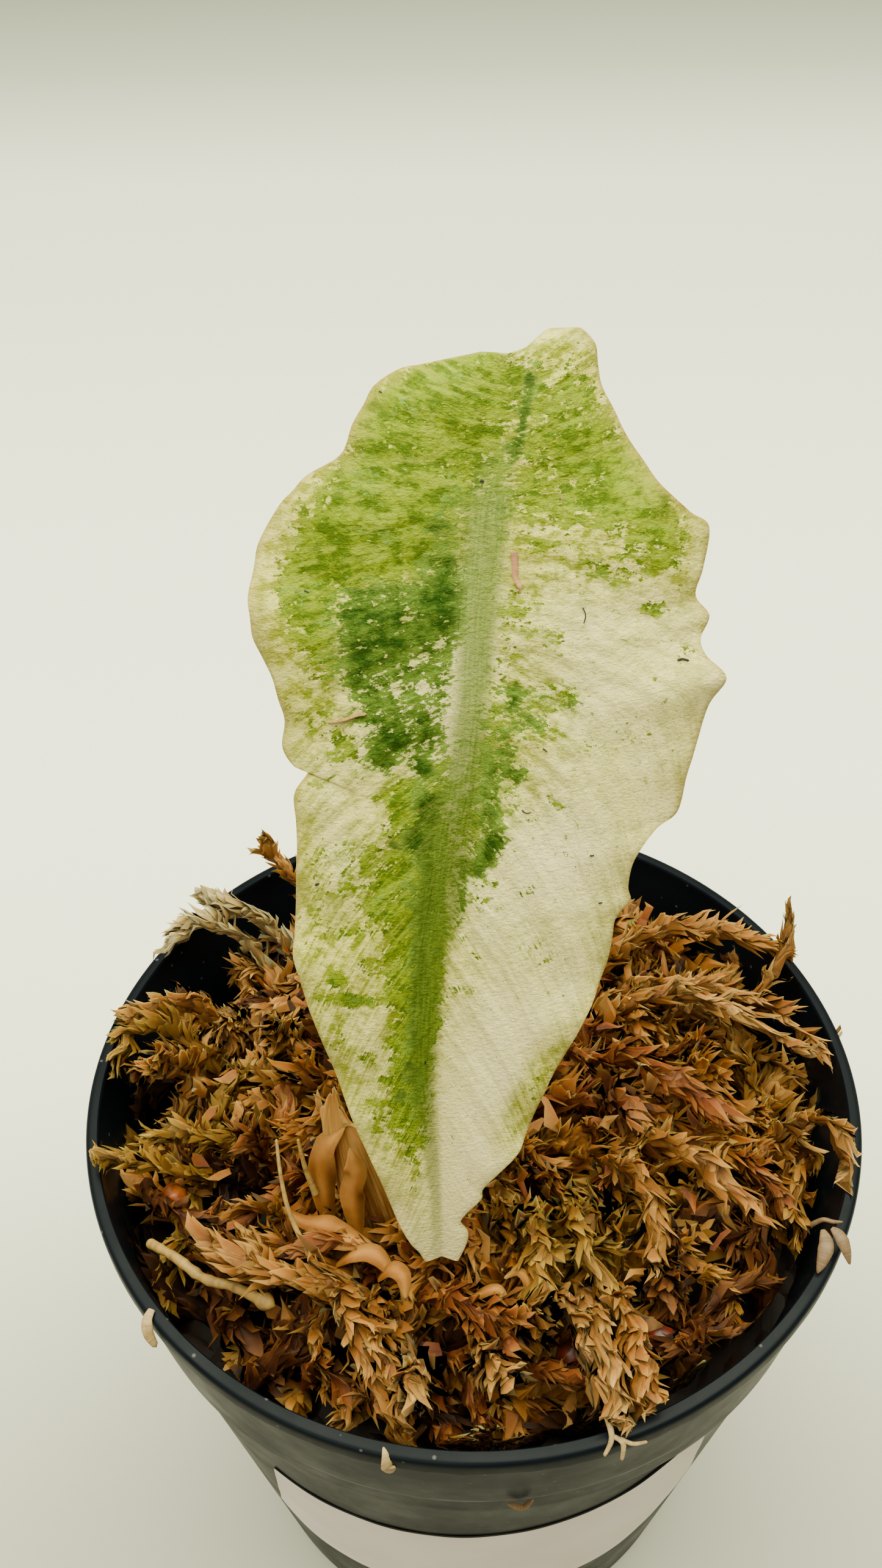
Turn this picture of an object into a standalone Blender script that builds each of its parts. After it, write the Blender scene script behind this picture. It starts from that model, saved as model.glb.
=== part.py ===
"""A young variegated alocasia: one leaf standing in dried sphagnum moss in a small nursery pot.

The origin is the centre of the pot's foot, on the surface it stands on. +Z is up and -Y is the front,
which the leaf faces. Lengths are in metres. Heights called `above` are counted from the pot's rim.
"""

import math
import random

import bmesh
import bpy
from mathutils import Matrix, Vector

MM = 0.001
GAP = 0.3 * MM  # air between two pieces that rest on each other

# Pot: a 76 mm nursery pot, moulded in thin plastic with a rolled lip and a plain collar
RIM_RADIUS = 38.0 * MM
POT_HEIGHT = 68.0 * MM
LIP_DROP = 1.8 * MM
LIP_FLAT = 1.1 * MM
LIP_ROUNDING = 0.3 * MM
LIP_OVERHANG = 0.35 * MM
COLLAR_DROP = 14.2 * MM
COLLAR_FOOT_RADIUS = 35.9 * MM
COLLAR_STEP = 0.55 * MM
BODY_TAPER = 0.166  # metres of radius for each metre of height
WALL = 0.9 * MM
FOOT_WIDTH = 2.0 * MM
FLOOR_UNDERSIDE = 2.4 * MM
FLOOR_THICKNESS = 1.1 * MM
CENTRE_HOLE_RADIUS = 3.0 * MM
DRAIN_HOLES = 6
DRAIN_HOLE_RADIUS = 2.4 * MM
DRAIN_CIRCLE_RADIUS = 15.5 * MM
FOOT_NOTCH = (7.0 * MM, 5.0 * MM, 1.3 * MM)
POT_SIDES = 48

# Label: a blank paper sticker, put on by hand, so that its ends ride up the cone
LABEL_TOP_DROP = 25.0 * MM
LABEL_BOTTOM_DROP = 49.5 * MM
LABEL_LEFT = (-21.0 * MM, -23.2 * MM)  # arc length of the left edge from the front, at top and bottom
LABEL_RIGHT = (17.5 * MM, 19.7 * MM)
LABEL_RISE = 9.5  # metres of rise for each square metre of arc length
LABEL_TILT = 0.17
LABEL_CORNER = 6.0 * MM
LABEL_THICKNESS = 0.4 * MM
LABEL_COLUMNS = 16
LABEL_ROWS = 4

# Moss: a mounded bed whose short branches are clad in pointed leaves
MOSS_EDGE_ABOVE = -8.5 * MM
MOSS_MIDDLE_ABOVE = -1.2 * MM
MOSS_RINGS = 11
MOSS_SIDES = 40
MOSS_RELIEF = 0.77 * MM
BRANCHES = 46
BRANCH_SEED = 11
BRANCH_FIELD_RADIUS = 31.5 * MM
BRANCH_LENGTH = (9.0 * MM, 13.5 * MM)
BRANCH_GIRTH = (1.9 * MM, 2.6 * MM)
BRANCH_SIDES = 4
BRANCH_WHORLS = 3

# Alocasia leaf, in its own plane: x to the right, and the way along the midrib from the tip up
LEAF_TIP = Vector((0.0, -21.3 * MM, POT_HEIGHT + 2.6 * MM))
LEAF_LEAN_AT_TIP = math.radians(10.0)
LEAF_LEAN_GAIN = math.radians(26.0) / (75.0 * MM)  # how fast the blade leans back on the way up
LEAF_THICKNESS = 0.75 * MM
LEAF_ROWS = 46
LEAF_COLUMNS = 5
MIDRIB_DEPTH = 1.1 * MM
MIDRIB_HALF_WIDTH = 1.7 * MM
MIDRIB = [
    (-3.2, 0.8), (-3.3, 8.5), (-3.2, 23.0), (-2.3, 36.0), (-0.9, 46.4), (0.5, 58.7), (2.3, 69.8), (2.9, 76.8),
]
RIGHT_MARGIN = [
    (4.3, 77.2), (6.0, 78.6), (7.8, 78.7), (9.2, 77.5), (9.7, 74.5), (11.5, 71.0), (13.8, 67.5),
    (16.0, 65.5), (17.5, 64.4), (17.1, 61.5), (16.6, 59.5), (17.7, 58.0), (17.0, 56.3), (17.4, 55.0),
    (18.8, 53.4), (17.7, 51.5), (17.0, 49.0), (16.2, 46.0), (15.6, 43.2), (13.8, 41.8), (12.2, 39.5),
    (11.8, 37.3), (12.0, 36.0), (10.9, 34.6), (10.4, 31.0), (9.2, 27.3), (7.8, 24.0), (6.1, 20.5),
    (4.8, 17.0), (3.3, 12.5), (1.6, 10.2), (0.4, 8.6), (0.2, 7.4), (-1.5, 5.0), (-0.9, 3.5), (-1.1, 2.0),
    (-1.8, 0.0),
]
LEFT_MARGIN = [
    (1.0, 77.0), (-1.8, 76.5), (-5.0, 75.9), (-6.8, 74.8), (-8.4, 72.1), (-9.3, 70.0), (-11.8, 68.6),
    (-14.0, 66.4), (-15.6, 63.9), (-16.4, 60.0), (-16.2, 57.0), (-14.9, 54.0), (-14.2, 50.8),
    (-14.5, 48.8), (-13.6, 47.3), (-12.5, 46.9), (-13.6, 45.2), (-13.6, 41.0), (-14.1, 35.0),
    (-14.3, 31.8), (-13.4, 27.5), (-11.5, 20.9), (-10.0, 15.4), (-8.3, 10.0), (-6.8, 4.6), (-5.9, 2.3),
    (-5.2, 1.2), (-4.7, 0.0),
]
BLADE_BULGE = 0.9 * MM
BLADE_BULGE_WIDTH = 5.0 * MM
BLADE_TIP_FADE = 12.0 * MM
MARGIN_LENGTH = 100.0 * MM
MARGIN_CURL = 2.4 * MM
CURL_SLOPES = (math.radians(60.0), math.radians(26.0))  # at the tip and at the top
MARGIN_WAVE = 0.55 * MM
MARGIN_WAVE_LENGTHS = (17.0 * MM, 8.3 * MM)

# Stem, papery sheath and corm
PETIOLE_ATTACHMENT = 69.8 * MM  # along the midrib from the tip
PETIOLE_TOP_RADIUS = 1.1 * MM
PETIOLE_FOOT_RADIUS = 2.1 * MM
PETIOLE_FOOT = Vector((-8.0 * MM, -10.0 * MM, POT_HEIGHT - 4.4 * MM))
SHEATH_FOOT = Vector((-8.8 * MM, -10.6 * MM, POT_HEIGHT - 2.6 * MM))
SHEATH_TOP = Vector((-11.6 * MM, -9.0 * MM, POT_HEIGHT + 13.5 * MM))
SHEATH_FOOT_RADIUS = 4.2 * MM
SHEATH_TOP_RADIUS = 1.5 * MM
SHEATH_FACING = math.radians(-125.0)
SHEATH_HALF_WRAP = math.radians(96.0)
SHEATH_THICKNESS = 0.7 * MM
CORM_RADIUS = 5.4 * MM
CORM_CENTRE = Vector((-8.0 * MM, -10.0 * MM, POT_HEIGHT - 10.0 * MM))
ROOTS = 5
ROOT_RADIUS = 0.8 * MM
ROOT_LENGTH = 21.0 * MM
ROOT_DROP = 30.0 * MM

# Fertiliser grains, part-sunk in the moss, and the pale stem that lies across it
PRILL_RADIUS = 1.4 * MM
PRILLS = [(-28.8, -10.6, -3.6), (16.0, -25.6, -4.0), (8.0, -27.4, -3.0)]
PALE_STEM = [
    (-30.4, -15.6, -3.2), (-27.6, -18.2, -1.8), (-24.2, -20.4, -1.2), (-21.0, -22.2, -0.6),
    (-18.2, -24.0, 0.6),
]
PALE_STEM_RADIUS = 0.85 * MM


def at(x, y, above):
    """A point given in millimetres, with its height counted from the pot's rim."""
    return Vector((x * MM, y * MM, POT_HEIGHT + above * MM))


def blend(low, high, share):
    return low + (high - low) * share


def collection(name):
    made = bpy.data.collections.new(name)
    bpy.context.scene.collection.children.link(made)
    return made


def material(name, colour, roughness):
    made = bpy.data.materials.new(name)
    made.use_nodes = True
    shader = made.node_tree.nodes["Principled BSDF"]
    shader.inputs["Base Color"].default_value = (*colour, 1.0)
    shader.inputs["Roughness"].default_value = roughness
    made.diffuse_color = (*colour, 1.0)
    return made


def mesh_object(name, points, faces, group, look=None):
    """A solid from its points and faces, with the faces turned outwards."""
    mesh = bpy.data.meshes.new(name)
    mesh.from_pydata([tuple(point) for point in points], [], faces)
    shape = bmesh.new()
    shape.from_mesh(mesh)
    bmesh.ops.recalc_face_normals(shape, faces=shape.faces)
    shape.to_mesh(mesh)
    shape.free()
    made = bpy.data.objects.new(name, mesh)
    group.objects.link(made)
    if look:
        mesh.materials.append(look)
    return made


def cutter(made):
    made.hide_render = True
    made.display_type = "WIRE"
    return made


def evaluated_mesh(made, name):
    """The object's mesh with its modifiers applied, its loose caps welded."""
    graph = bpy.context.evaluated_depsgraph_get()
    mesh = bpy.data.meshes.new_from_object(made.evaluated_get(graph))
    mesh.name = name
    shape = bmesh.new()
    shape.from_mesh(mesh)
    bmesh.ops.remove_doubles(shape, verts=shape.verts, dist=0.01 * MM)
    shape.to_mesh(mesh)
    shape.free()
    return mesh


def bake(made):
    """Applies the object's modifiers for good."""
    mesh = evaluated_mesh(made, made.name)
    made.modifiers.clear()
    made.data = mesh
    return made


def boolean(made, group, operation, solver):
    """Joins or cuts an object with everything in a collection, then removes what was in it."""
    step = made.modifiers.new(operation.lower(), "BOOLEAN")
    step.operation = operation
    step.solver = solver
    step.operand_type = "COLLECTION"
    step.collection = group
    bake(made)
    for used in list(group.objects):
        bpy.data.objects.remove(used)
    return made


def smooth(made, degrees):
    made.data.shade_smooth()
    made.data.set_sharp_from_angle(angle=math.radians(degrees))
    return made


def tube(name, points, radii, group, look=None, sides=8):
    """A round tapering tube through the points, as a mesh with welded caps."""
    curve = bpy.data.curves.new(name, "CURVE")
    curve.dimensions = "3D"
    curve.bevel_depth = 1.0
    curve.bevel_resolution = (sides - 4) // 2
    curve.use_fill_caps = True
    spline = curve.splines.new("POLY")
    spline.points.add(len(points) - 1)
    for knot, point, radius in zip(spline.points, points, radii):
        knot.co = (*point, 1.0)
        knot.radius = radius
    wire = bpy.data.objects.new(name, curve)
    group.objects.link(wire)
    made = bpy.data.objects.new(name, evaluated_mesh(wire, name))
    group.objects.link(made)
    bpy.data.objects.remove(wire)
    bpy.data.curves.remove(curve)
    made.name = name
    if look:
        made.data.materials.clear()
        made.data.materials.append(look)
    return made


def curve_point(points, share):
    """A point on the smooth curve through the points, where share runs from 0 to 1."""
    place = min(max(share, 0.0), 1.0) * (len(points) - 1)
    here = min(int(place), len(points) - 2)
    before = points[max(here - 1, 0)]
    first, second = points[here], points[here + 1]
    after = points[min(here + 2, len(points) - 1)]
    step = place - here
    return 0.5 * (
        2.0 * first
        + (second - before) * step
        + (2.0 * before - 5.0 * first + 4.0 * second - after) * step**2
        + (3.0 * first - before - 3.0 * second + after) * step**3
    )


def body_radius(height):
    """The outer radius of the pot's cone at a height above the ground."""
    collar_foot = POT_HEIGHT - COLLAR_DROP
    return COLLAR_FOOT_RADIUS - COLLAR_STEP - BODY_TAPER * (collar_foot - height)


def inner_radius(height):
    """The radius of the pot's inside at a height above the ground."""
    collar_foot = POT_HEIGHT - COLLAR_DROP
    if height < collar_foot:
        return body_radius(height) - WALL
    share = min((height - collar_foot) / (COLLAR_DROP - LIP_DROP), 1.0)
    return blend(COLLAR_FOOT_RADIUS - COLLAR_STEP - WALL, RIM_RADIUS - LIP_FLAT - LIP_OVERHANG, share)


def turned(name, profile, sides, group):
    """A solid of revolution about Z. The profile's (radius, height) points run down its outer side."""
    mesh = bpy.data.meshes.new(name)
    edges = [(i, i + 1) for i in range(len(profile) - 1)]
    on_axis = profile[0][0] == 0.0
    if not on_axis:
        edges.append((len(profile) - 1, 0))
    mesh.from_pydata([(radius, 0.0, height) for radius, height in profile], edges, [])
    made = bpy.data.objects.new(name, mesh)
    group.objects.link(made)
    screw = made.modifiers.new("turn", "SCREW")
    screw.steps = sides
    screw.render_steps = sides
    screw.use_merge_vertices = True
    screw.merge_threshold = 0.01 * MM
    return bake(made)


def pot(group, look):
    """The pot's wall, lip and raised floor, with its drain holes and the notches in its foot."""
    lip_foot = POT_HEIGHT - LIP_DROP
    collar_foot = POT_HEIGHT - COLLAR_DROP
    collar_top_radius = RIM_RADIUS - LIP_OVERHANG
    floor_top = FLOOR_UNDERSIDE + FLOOR_THICKNESS
    profile = [
        (RIM_RADIUS - LIP_ROUNDING, POT_HEIGHT),
        (RIM_RADIUS, POT_HEIGHT - LIP_ROUNDING),
        (RIM_RADIUS, lip_foot),
        (collar_top_radius, lip_foot - 0.1 * MM),
        (COLLAR_FOOT_RADIUS, collar_foot),
        (COLLAR_FOOT_RADIUS - COLLAR_STEP, collar_foot - 0.3 * MM),
        (body_radius(1.0 * MM), 1.0 * MM),
        (body_radius(0.0) - 0.7 * MM, 0.0),
        (body_radius(0.0) - FOOT_WIDTH, 0.0),
        (body_radius(0.0) - FOOT_WIDTH - 0.4 * MM, FLOOR_UNDERSIDE),
        (CENTRE_HOLE_RADIUS, FLOOR_UNDERSIDE),
        (CENTRE_HOLE_RADIUS, floor_top),
        (inner_radius(floor_top) - 1.0 * MM, floor_top),
        (inner_radius(floor_top + 1.0 * MM), floor_top + 1.0 * MM),
        (inner_radius(collar_foot), collar_foot),
        (inner_radius(lip_foot), lip_foot),
        (RIM_RADIUS - LIP_FLAT, POT_HEIGHT - LIP_ROUNDING),
        (RIM_RADIUS - LIP_FLAT + 0.15 * MM, POT_HEIGHT),
    ]
    made = turned("pot", profile, POT_SIDES, group)
    holes = collection("pot_holes")
    for i in range(DRAIN_HOLES):
        angle = math.tau * (i + 0.5) / DRAIN_HOLES
        turn = Matrix.Rotation(angle, 4, "Z")
        hole = Matrix.Translation((DRAIN_CIRCLE_RADIUS, 0.0, floor_top - FLOOR_THICKNESS / 2))
        drill = bmesh.new()
        bmesh.ops.create_cone(
            drill,
            cap_ends=True,
            segments=16,
            radius1=DRAIN_HOLE_RADIUS,
            radius2=DRAIN_HOLE_RADIUS,
            depth=4.0 * FLOOR_THICKNESS,
            matrix=turn @ hole,
        )
        length, width, height = FOOT_NOTCH
        notch = Matrix.Translation((body_radius(0.0) - FOOT_WIDTH / 2, 0.0, 0.0))
        notch = notch @ Matrix.Diagonal((length, width, 2 * height, 1.0))
        bmesh.ops.create_cube(drill, size=1.0, matrix=turn @ notch)
        mesh = bpy.data.meshes.new("pot_hole")
        drill.to_mesh(mesh)
        drill.free()
        holes.objects.link(cutter(bpy.data.objects.new("pot_hole", mesh)))
    boolean(made, holes, "DIFFERENCE", "EXACT")
    made.data.materials.append(look)
    return smooth(made, 35.0)


def label_edges(arc):
    """How far below the rim the label's top and bottom edges are, at an arc length from the front."""
    rise = LABEL_RISE * arc**2 + LABEL_TILT * arc
    end = LABEL_LEFT[1] if arc < 0 else LABEL_RIGHT[1]
    past_corner = max(abs(arc) - (abs(end) - LABEL_CORNER), 0.0)
    past_corner = min(past_corner, LABEL_CORNER)
    rounding = LABEL_CORNER - math.sqrt(LABEL_CORNER**2 - past_corner**2)
    return LABEL_TOP_DROP - rise, LABEL_BOTTOM_DROP - 0.15 * rise - rounding


def label(group, look):
    """The blank sticker, a bent sheet one gap away from the pot's cone."""
    rows = []
    for layer in (0.0, LABEL_THICKNESS):
        for row in range(LABEL_ROWS + 1):
            down = row / LABEL_ROWS
            left = blend(LABEL_LEFT[0], LABEL_LEFT[1], down)
            right = blend(LABEL_RIGHT[0], LABEL_RIGHT[1], down)
            line = []
            for column in range(LABEL_COLUMNS + 1):
                arc = blend(left, right, column / LABEL_COLUMNS)
                top, bottom = label_edges(arc)
                height = POT_HEIGHT - blend(top, bottom, down)
                radius = body_radius(height) + GAP + layer
                angle = arc / body_radius(height)
                line.append(Vector((radius * math.sin(angle), -radius * math.cos(angle), height)))
            rows.append(line)
    made = sheet_solid("label", rows[: LABEL_ROWS + 1], rows[LABEL_ROWS + 1 :], group, look)
    return smooth(made, 40.0)


def sheet_solid(name, back, front, group, look=None):
    """A closed sheet between two like grids of points, split into triangles alike on both faces."""
    rows, columns = len(back), len(back[0])
    points = [point for grid in (back, front) for row in grid for point in row]

    def index(face, row, column):
        return (face * rows + row) * columns + column

    faces = []
    for face in (0, 1):
        for row in range(rows - 1):
            for column in range(columns - 1):
                a, b = index(face, row, column), index(face, row, column + 1)
                c, d = index(face, row + 1, column + 1), index(face, row + 1, column)
                faces += [(a, b, c), (a, c, d)]
    border = [(0, column) for column in range(columns)]
    border += [(row, columns - 1) for row in range(1, rows)]
    border += [(rows - 1, column) for column in range(columns - 2, -1, -1)]
    border += [(row, 0) for row in range(rows - 2, 0, -1)]
    for here, after in zip(border, border[1:] + border[:1]):
        a, b = index(0, *here), index(0, *after)
        c, d = index(1, *after), index(1, *here)
        faces += [(a, b, c), (a, c, d)]
    return mesh_object(name, points, faces, group, look)


def leaf_lean(along):
    return LEAF_LEAN_AT_TIP + LEAF_LEAN_GAIN * along


def leaf_spine(along):
    """The point on the blade's middle sheet, at x = 0, some way up from the tip: an arc that leans back."""
    start, end = leaf_lean(0.0), leaf_lean(along)
    back = (math.cos(start) - math.cos(end)) / LEAF_LEAN_GAIN
    up = (math.sin(end) - math.sin(start)) / LEAF_LEAN_GAIN
    return LEAF_TIP + Vector((0.0, back, up))


def leaf_front(along):
    """The way the blade faces, some way up from its tip."""
    lean = leaf_lean(along)
    return Vector((0.0, -math.cos(lean), math.sin(lean)))


def curl_way(along):
    """The way the surface bulges and curls: steep at the tip and flatter at the top."""
    slope = blend(CURL_SLOPES[0], CURL_SLOPES[1], along / (MIDRIB[-1][1] * MM))
    return Vector((0.0, -math.cos(slope), math.sin(slope)))


def spread(points, count):
    """The outline with its longest stretches halved until it has the count of points."""
    points = [Vector(point) * MM for point in points]
    while len(points) < count:
        lengths = [(after - here).length for here, after in zip(points, points[1:])]
        longest = lengths.index(max(lengths))
        points.insert(longest + 1, (points[longest] + points[longest + 1]) / 2)
    return points


def shares_along(points):
    """How far along the line each point is, from 0 to 1."""
    walked = [0.0]
    for here, after in zip(points, points[1:]):
        walked.append(walked[-1] + (after - here).length)
    return [length / walked[-1] for length in walked]


def blade_rise(middle, point, on_right, across, walked):
    """How far the surface stands forward of its middle sheet: full beside the midrib, curled at the edge."""
    from_midrib = abs(point.x - middle.x)
    bulge = BLADE_BULGE * (1.0 - math.exp(-((from_midrib / BLADE_BULGE_WIDTH) ** 2)))
    curl = MARGIN_CURL * across**3 * min(1.0, 1.6 * point.y / (MIDRIB[-1][1] * MM))
    long_wave, short_wave = MARGIN_WAVE_LENGTHS
    phase = 0.4 if on_right else 2.1
    wave = math.sin(math.tau * walked / long_wave + phase)
    wave += 0.6 * math.sin(math.tau * walked / short_wave - phase)
    fade = min(1.0, point.y / BLADE_TIP_FADE)
    return (bulge - curl + MARGIN_WAVE * wave * across**4) * fade


def midrib_at(along):
    """The midrib's point at a distance up from the tip."""
    knots = [Vector(knot) * MM for knot in MIDRIB]
    low = sum(1 for knot in knots[1:-1] if knot.y < along)
    part = (along - knots[low].y) / (knots[low + 1].y - knots[low].y)
    return Vector((curve_point(knots, (low + part) / (len(knots) - 1)).x, along))


def blade_grid():
    """Rows of (point in the blade's plane, rise, distance from the midrib), from the top notch to the tip."""
    right = spread(RIGHT_MARGIN, LEAF_ROWS + 1)
    left = spread(LEFT_MARGIN, LEAF_ROWS + 1)
    right_shares, left_shares = shares_along(right), shares_along(left)
    top, foot = MIDRIB[-1][1] * MM, MIDRIB[0][1] * MM
    rows = []
    for row in range(LEAF_ROWS + 1):
        middle = midrib_at(blend(top, foot, (right_shares[row] + left_shares[row]) / 2))
        line = []
        for column in range(-LEAF_COLUMNS, LEAF_COLUMNS + 1):
            across = abs(column) / LEAF_COLUMNS
            on_right = column > 0
            margin = right[row] if on_right else left[row]
            walked = (right_shares if on_right else left_shares)[row] * MARGIN_LENGTH
            point = blend(middle, margin, across)
            rise = blade_rise(middle, point, on_right, across, walked)
            line.append((point, rise, abs(point.x - middle.x)))
        rows.append(line)
    return rows


def leaf_blade(group, look, grow=0.0):
    """The blade, one thin waved sheet with its midrib raised on the back. Grown, it is its own room."""
    out = leaf_front(40.0 * MM)
    fronts, backs = [], []
    for line in blade_grid():
        front, back = [], []
        middle = line[LEAF_COLUMNS][0]
        for point, rise, from_midrib in line:
            point = middle + (point - middle) * (1.0 + grow / (8.0 * MM))
            spot = leaf_spine(point.y) + Vector((point.x, 0.0, 0.0)) + curl_way(point.y) * rise
            height_share = max(point.y, 0.0) / (77.0 * MM)
            ridge = MIDRIB_DEPTH * math.sqrt(height_share)
            ridge *= math.exp(-((from_midrib / MIDRIB_HALF_WIDTH) ** 2))
            front.append(spot + out * (LEAF_THICKNESS / 2 + grow))
            back.append(spot - out * (LEAF_THICKNESS / 2 + grow + ridge))
        fronts.append(front)
        backs.append(back)
    if grow:
        for grid in (fronts, backs):
            grid[-1] = [point - Vector((0.0, 0.0, grow)) for point in grid[-1]]
    return smooth(sheet_solid("leaf_blade", backs, fronts, group, look), 60.0)


def petiole_route():
    """The stem's route from the corm's crown to the back of the blade."""
    behind = -leaf_front(PETIOLE_ATTACHMENT)
    joint = leaf_spine(PETIOLE_ATTACHMENT) + Vector((2.3 * MM, 0.0, 0.0))
    top = joint + behind * (LEAF_THICKNESS / 2 + MIDRIB_DEPTH + GAP)
    return [
        PETIOLE_FOOT,
        at(-7.9, -9.8, 3.0),
        at(-7.4, -8.6, 12.0),
        at(-6.3, -6.0, 23.0),
        at(-4.7, -2.4, 35.0),
        at(-2.4, 1.8, 47.0),
        at(0.2, 5.6, 57.0),
        top + behind * (1.9 * MM) - Vector((0.3 * MM, 0.0, 3.2 * MM)),
        top,
    ]


def petiole(group, look, grow=0.0):
    route = petiole_route()
    steps = 20
    points = [curve_point(route, step / steps) for step in range(steps + 1)]
    radii = []
    for step in range(steps + 1):
        radii.append(blend(PETIOLE_FOOT_RADIUS, PETIOLE_TOP_RADIUS, (step / steps) ** 0.7) + grow)
    if grow:
        points[0] = points[0] - Vector((0.0, 0.0, grow))
        points, radii = points[:8], radii[:8]
    return smooth(tube("petiole", points, radii, group, look), 50.0)


def stem_sheath(group, look, grow=0.0):
    """The papery sheath that half wraps the stem's foot and ends in a point."""
    rows, columns = 9, 10
    outer, inner = [], []
    for row in range(rows + 1):
        up = row / rows
        centre = SHEATH_FOOT.lerp(SHEATH_TOP, up)
        if grow and row == 0:
            centre = centre - Vector((0.0, 0.0, grow))
        radius = blend(SHEATH_FOOT_RADIUS, SHEATH_TOP_RADIUS, up)
        wrap = SHEATH_HALF_WRAP * (1.0 - 0.9 * up**1.8) + grow / radius
        outside, inside = [], []
        for column in range(columns + 1):
            angle = SHEATH_FACING + wrap * (2.0 * column / columns - 1.0)
            flute = 0.18 * MM * math.sin(column * 2.4) * (1.0 - up)
            way = Vector((math.cos(angle), math.sin(angle), 0.0))
            outside.append(centre + way * (radius + flute + grow))
            inside.append(centre + way * (radius + flute - SHEATH_THICKNESS - grow))
        outer.append(outside)
        inner.append(inside)
    return smooth(sheet_solid("stem_sheath", inner, outer, group, look), 50.0)


def corm(group, look, grow=0.0):
    """The corm under the moss, with its roots, which start inside it and run down through the bed."""
    ball = bmesh.new()
    bmesh.ops.create_uvsphere(ball, u_segments=12, v_segments=7, radius=CORM_RADIUS + grow)
    bmesh.ops.translate(ball, vec=CORM_CENTRE, verts=ball.verts)
    mesh = bpy.data.meshes.new("corm")
    ball.to_mesh(mesh)
    ball.free()
    made = bpy.data.objects.new("corm", mesh)
    group.objects.link(made)
    roots = collection("corm_roots")
    for i in range(ROOTS):
        angle = math.tau * (i + 0.3) / ROOTS
        steps = 5
        points, radii = [], []
        for step in range(steps + 1):
            share = step / steps
            reach = ROOT_LENGTH * (0.75 + 0.25 * math.cos(angle * 2.0)) * math.sin(share * math.pi / 2)
            sway = 1.6 * MM * math.sin(share * 5.0 + i)
            spot = CORM_CENTRE * (1.0 - 0.55 * share)
            spot.z = CORM_CENTRE.z - 1.5 * MM - ROOT_DROP * share**1.5
            way = Vector((math.cos(angle), math.sin(angle), 0.0))
            side = Vector((-way.y, way.x, 0.0))
            spot = spot + way * (reach * 0.75) + side * sway
            points.append(spot)
            radii.append(blend(ROOT_RADIUS, 0.5 * ROOT_RADIUS, share) + grow)
        if grow:
            points[-1] = points[-1] - Vector((0.0, 0.0, grow))
        tube(f"root_{i}", points, radii, roots, sides=6)
    boolean(made, roots, "UNION", "MANIFOLD")
    bpy.data.collections.remove(roots)
    if look:
        made.data.materials.append(look)
    return smooth(made, 50.0)


def moss_above(x, y):
    """How high the moss bed stands at a place, counted from the rim: a mound with hollows in it."""
    share = min(math.hypot(x, y) / (34.0 * MM), 1.0)
    mound = blend(MOSS_MIDDLE_ABOVE, MOSS_EDGE_ABOVE, share**2.4)
    tufts = math.sin(x * 1130.0 + 2.0 * math.sin(y * 540.0))
    tufts += math.sin(y * 1270.0 + 2.0 * math.sin(x * 610.0))
    return mound + MOSS_RELIEF * tufts


def moss_bed_core(group):
    """The packed bed under the loose branches, turned to fill the pot and raised by the mound's formula."""
    floor = FLOOR_UNDERSIDE + FLOOR_THICKNESS + GAP
    shoulder = floor + 1.5 * MM
    edge = POT_HEIGHT + MOSS_EDGE_ABOVE
    profile = []
    for ring in range(MOSS_RINGS):
        profile.append(((inner_radius(edge) - 1.2 * MM) * ring / (MOSS_RINGS - 1), edge))
    collar_foot = POT_HEIGHT - COLLAR_DROP
    profile.append((inner_radius(collar_foot - 1.0 * MM) - GAP - 0.2 * MM, collar_foot - 1.0 * MM))
    profile.append((inner_radius(shoulder) - GAP - 0.2 * MM, shoulder))
    profile.append((inner_radius(floor) - GAP - 1.4 * MM, floor))
    profile.append((0.0, floor))
    made = turned("moss_bed", profile, MOSS_SIDES, group)
    for vertex in made.data.vertices:
        on_top = vertex.co.z > edge - 0.1 * MM
        if on_top and math.hypot(vertex.co.x, vertex.co.y) < inner_radius(edge) - 1.4 * MM:
            vertex.co.z = POT_HEIGHT + moss_above(vertex.co.x, vertex.co.y)
    return made


def clear_of_pot(point, girth):
    """The point, drawn in from the pot's wall unless it is high enough to pass over the rim."""
    reach = math.hypot(point.x, point.y)
    limit = RIM_RADIUS - 0.2 * MM - girth * 1.25
    if point.z < POT_HEIGHT + girth * 1.3 + GAP:
        limit = inner_radius(min(point.z, POT_HEIGHT)) - girth * 1.35 - GAP
    if reach <= limit:
        return point
    return Vector((point.x * limit / reach, point.y * limit / reach, point.z))


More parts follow.
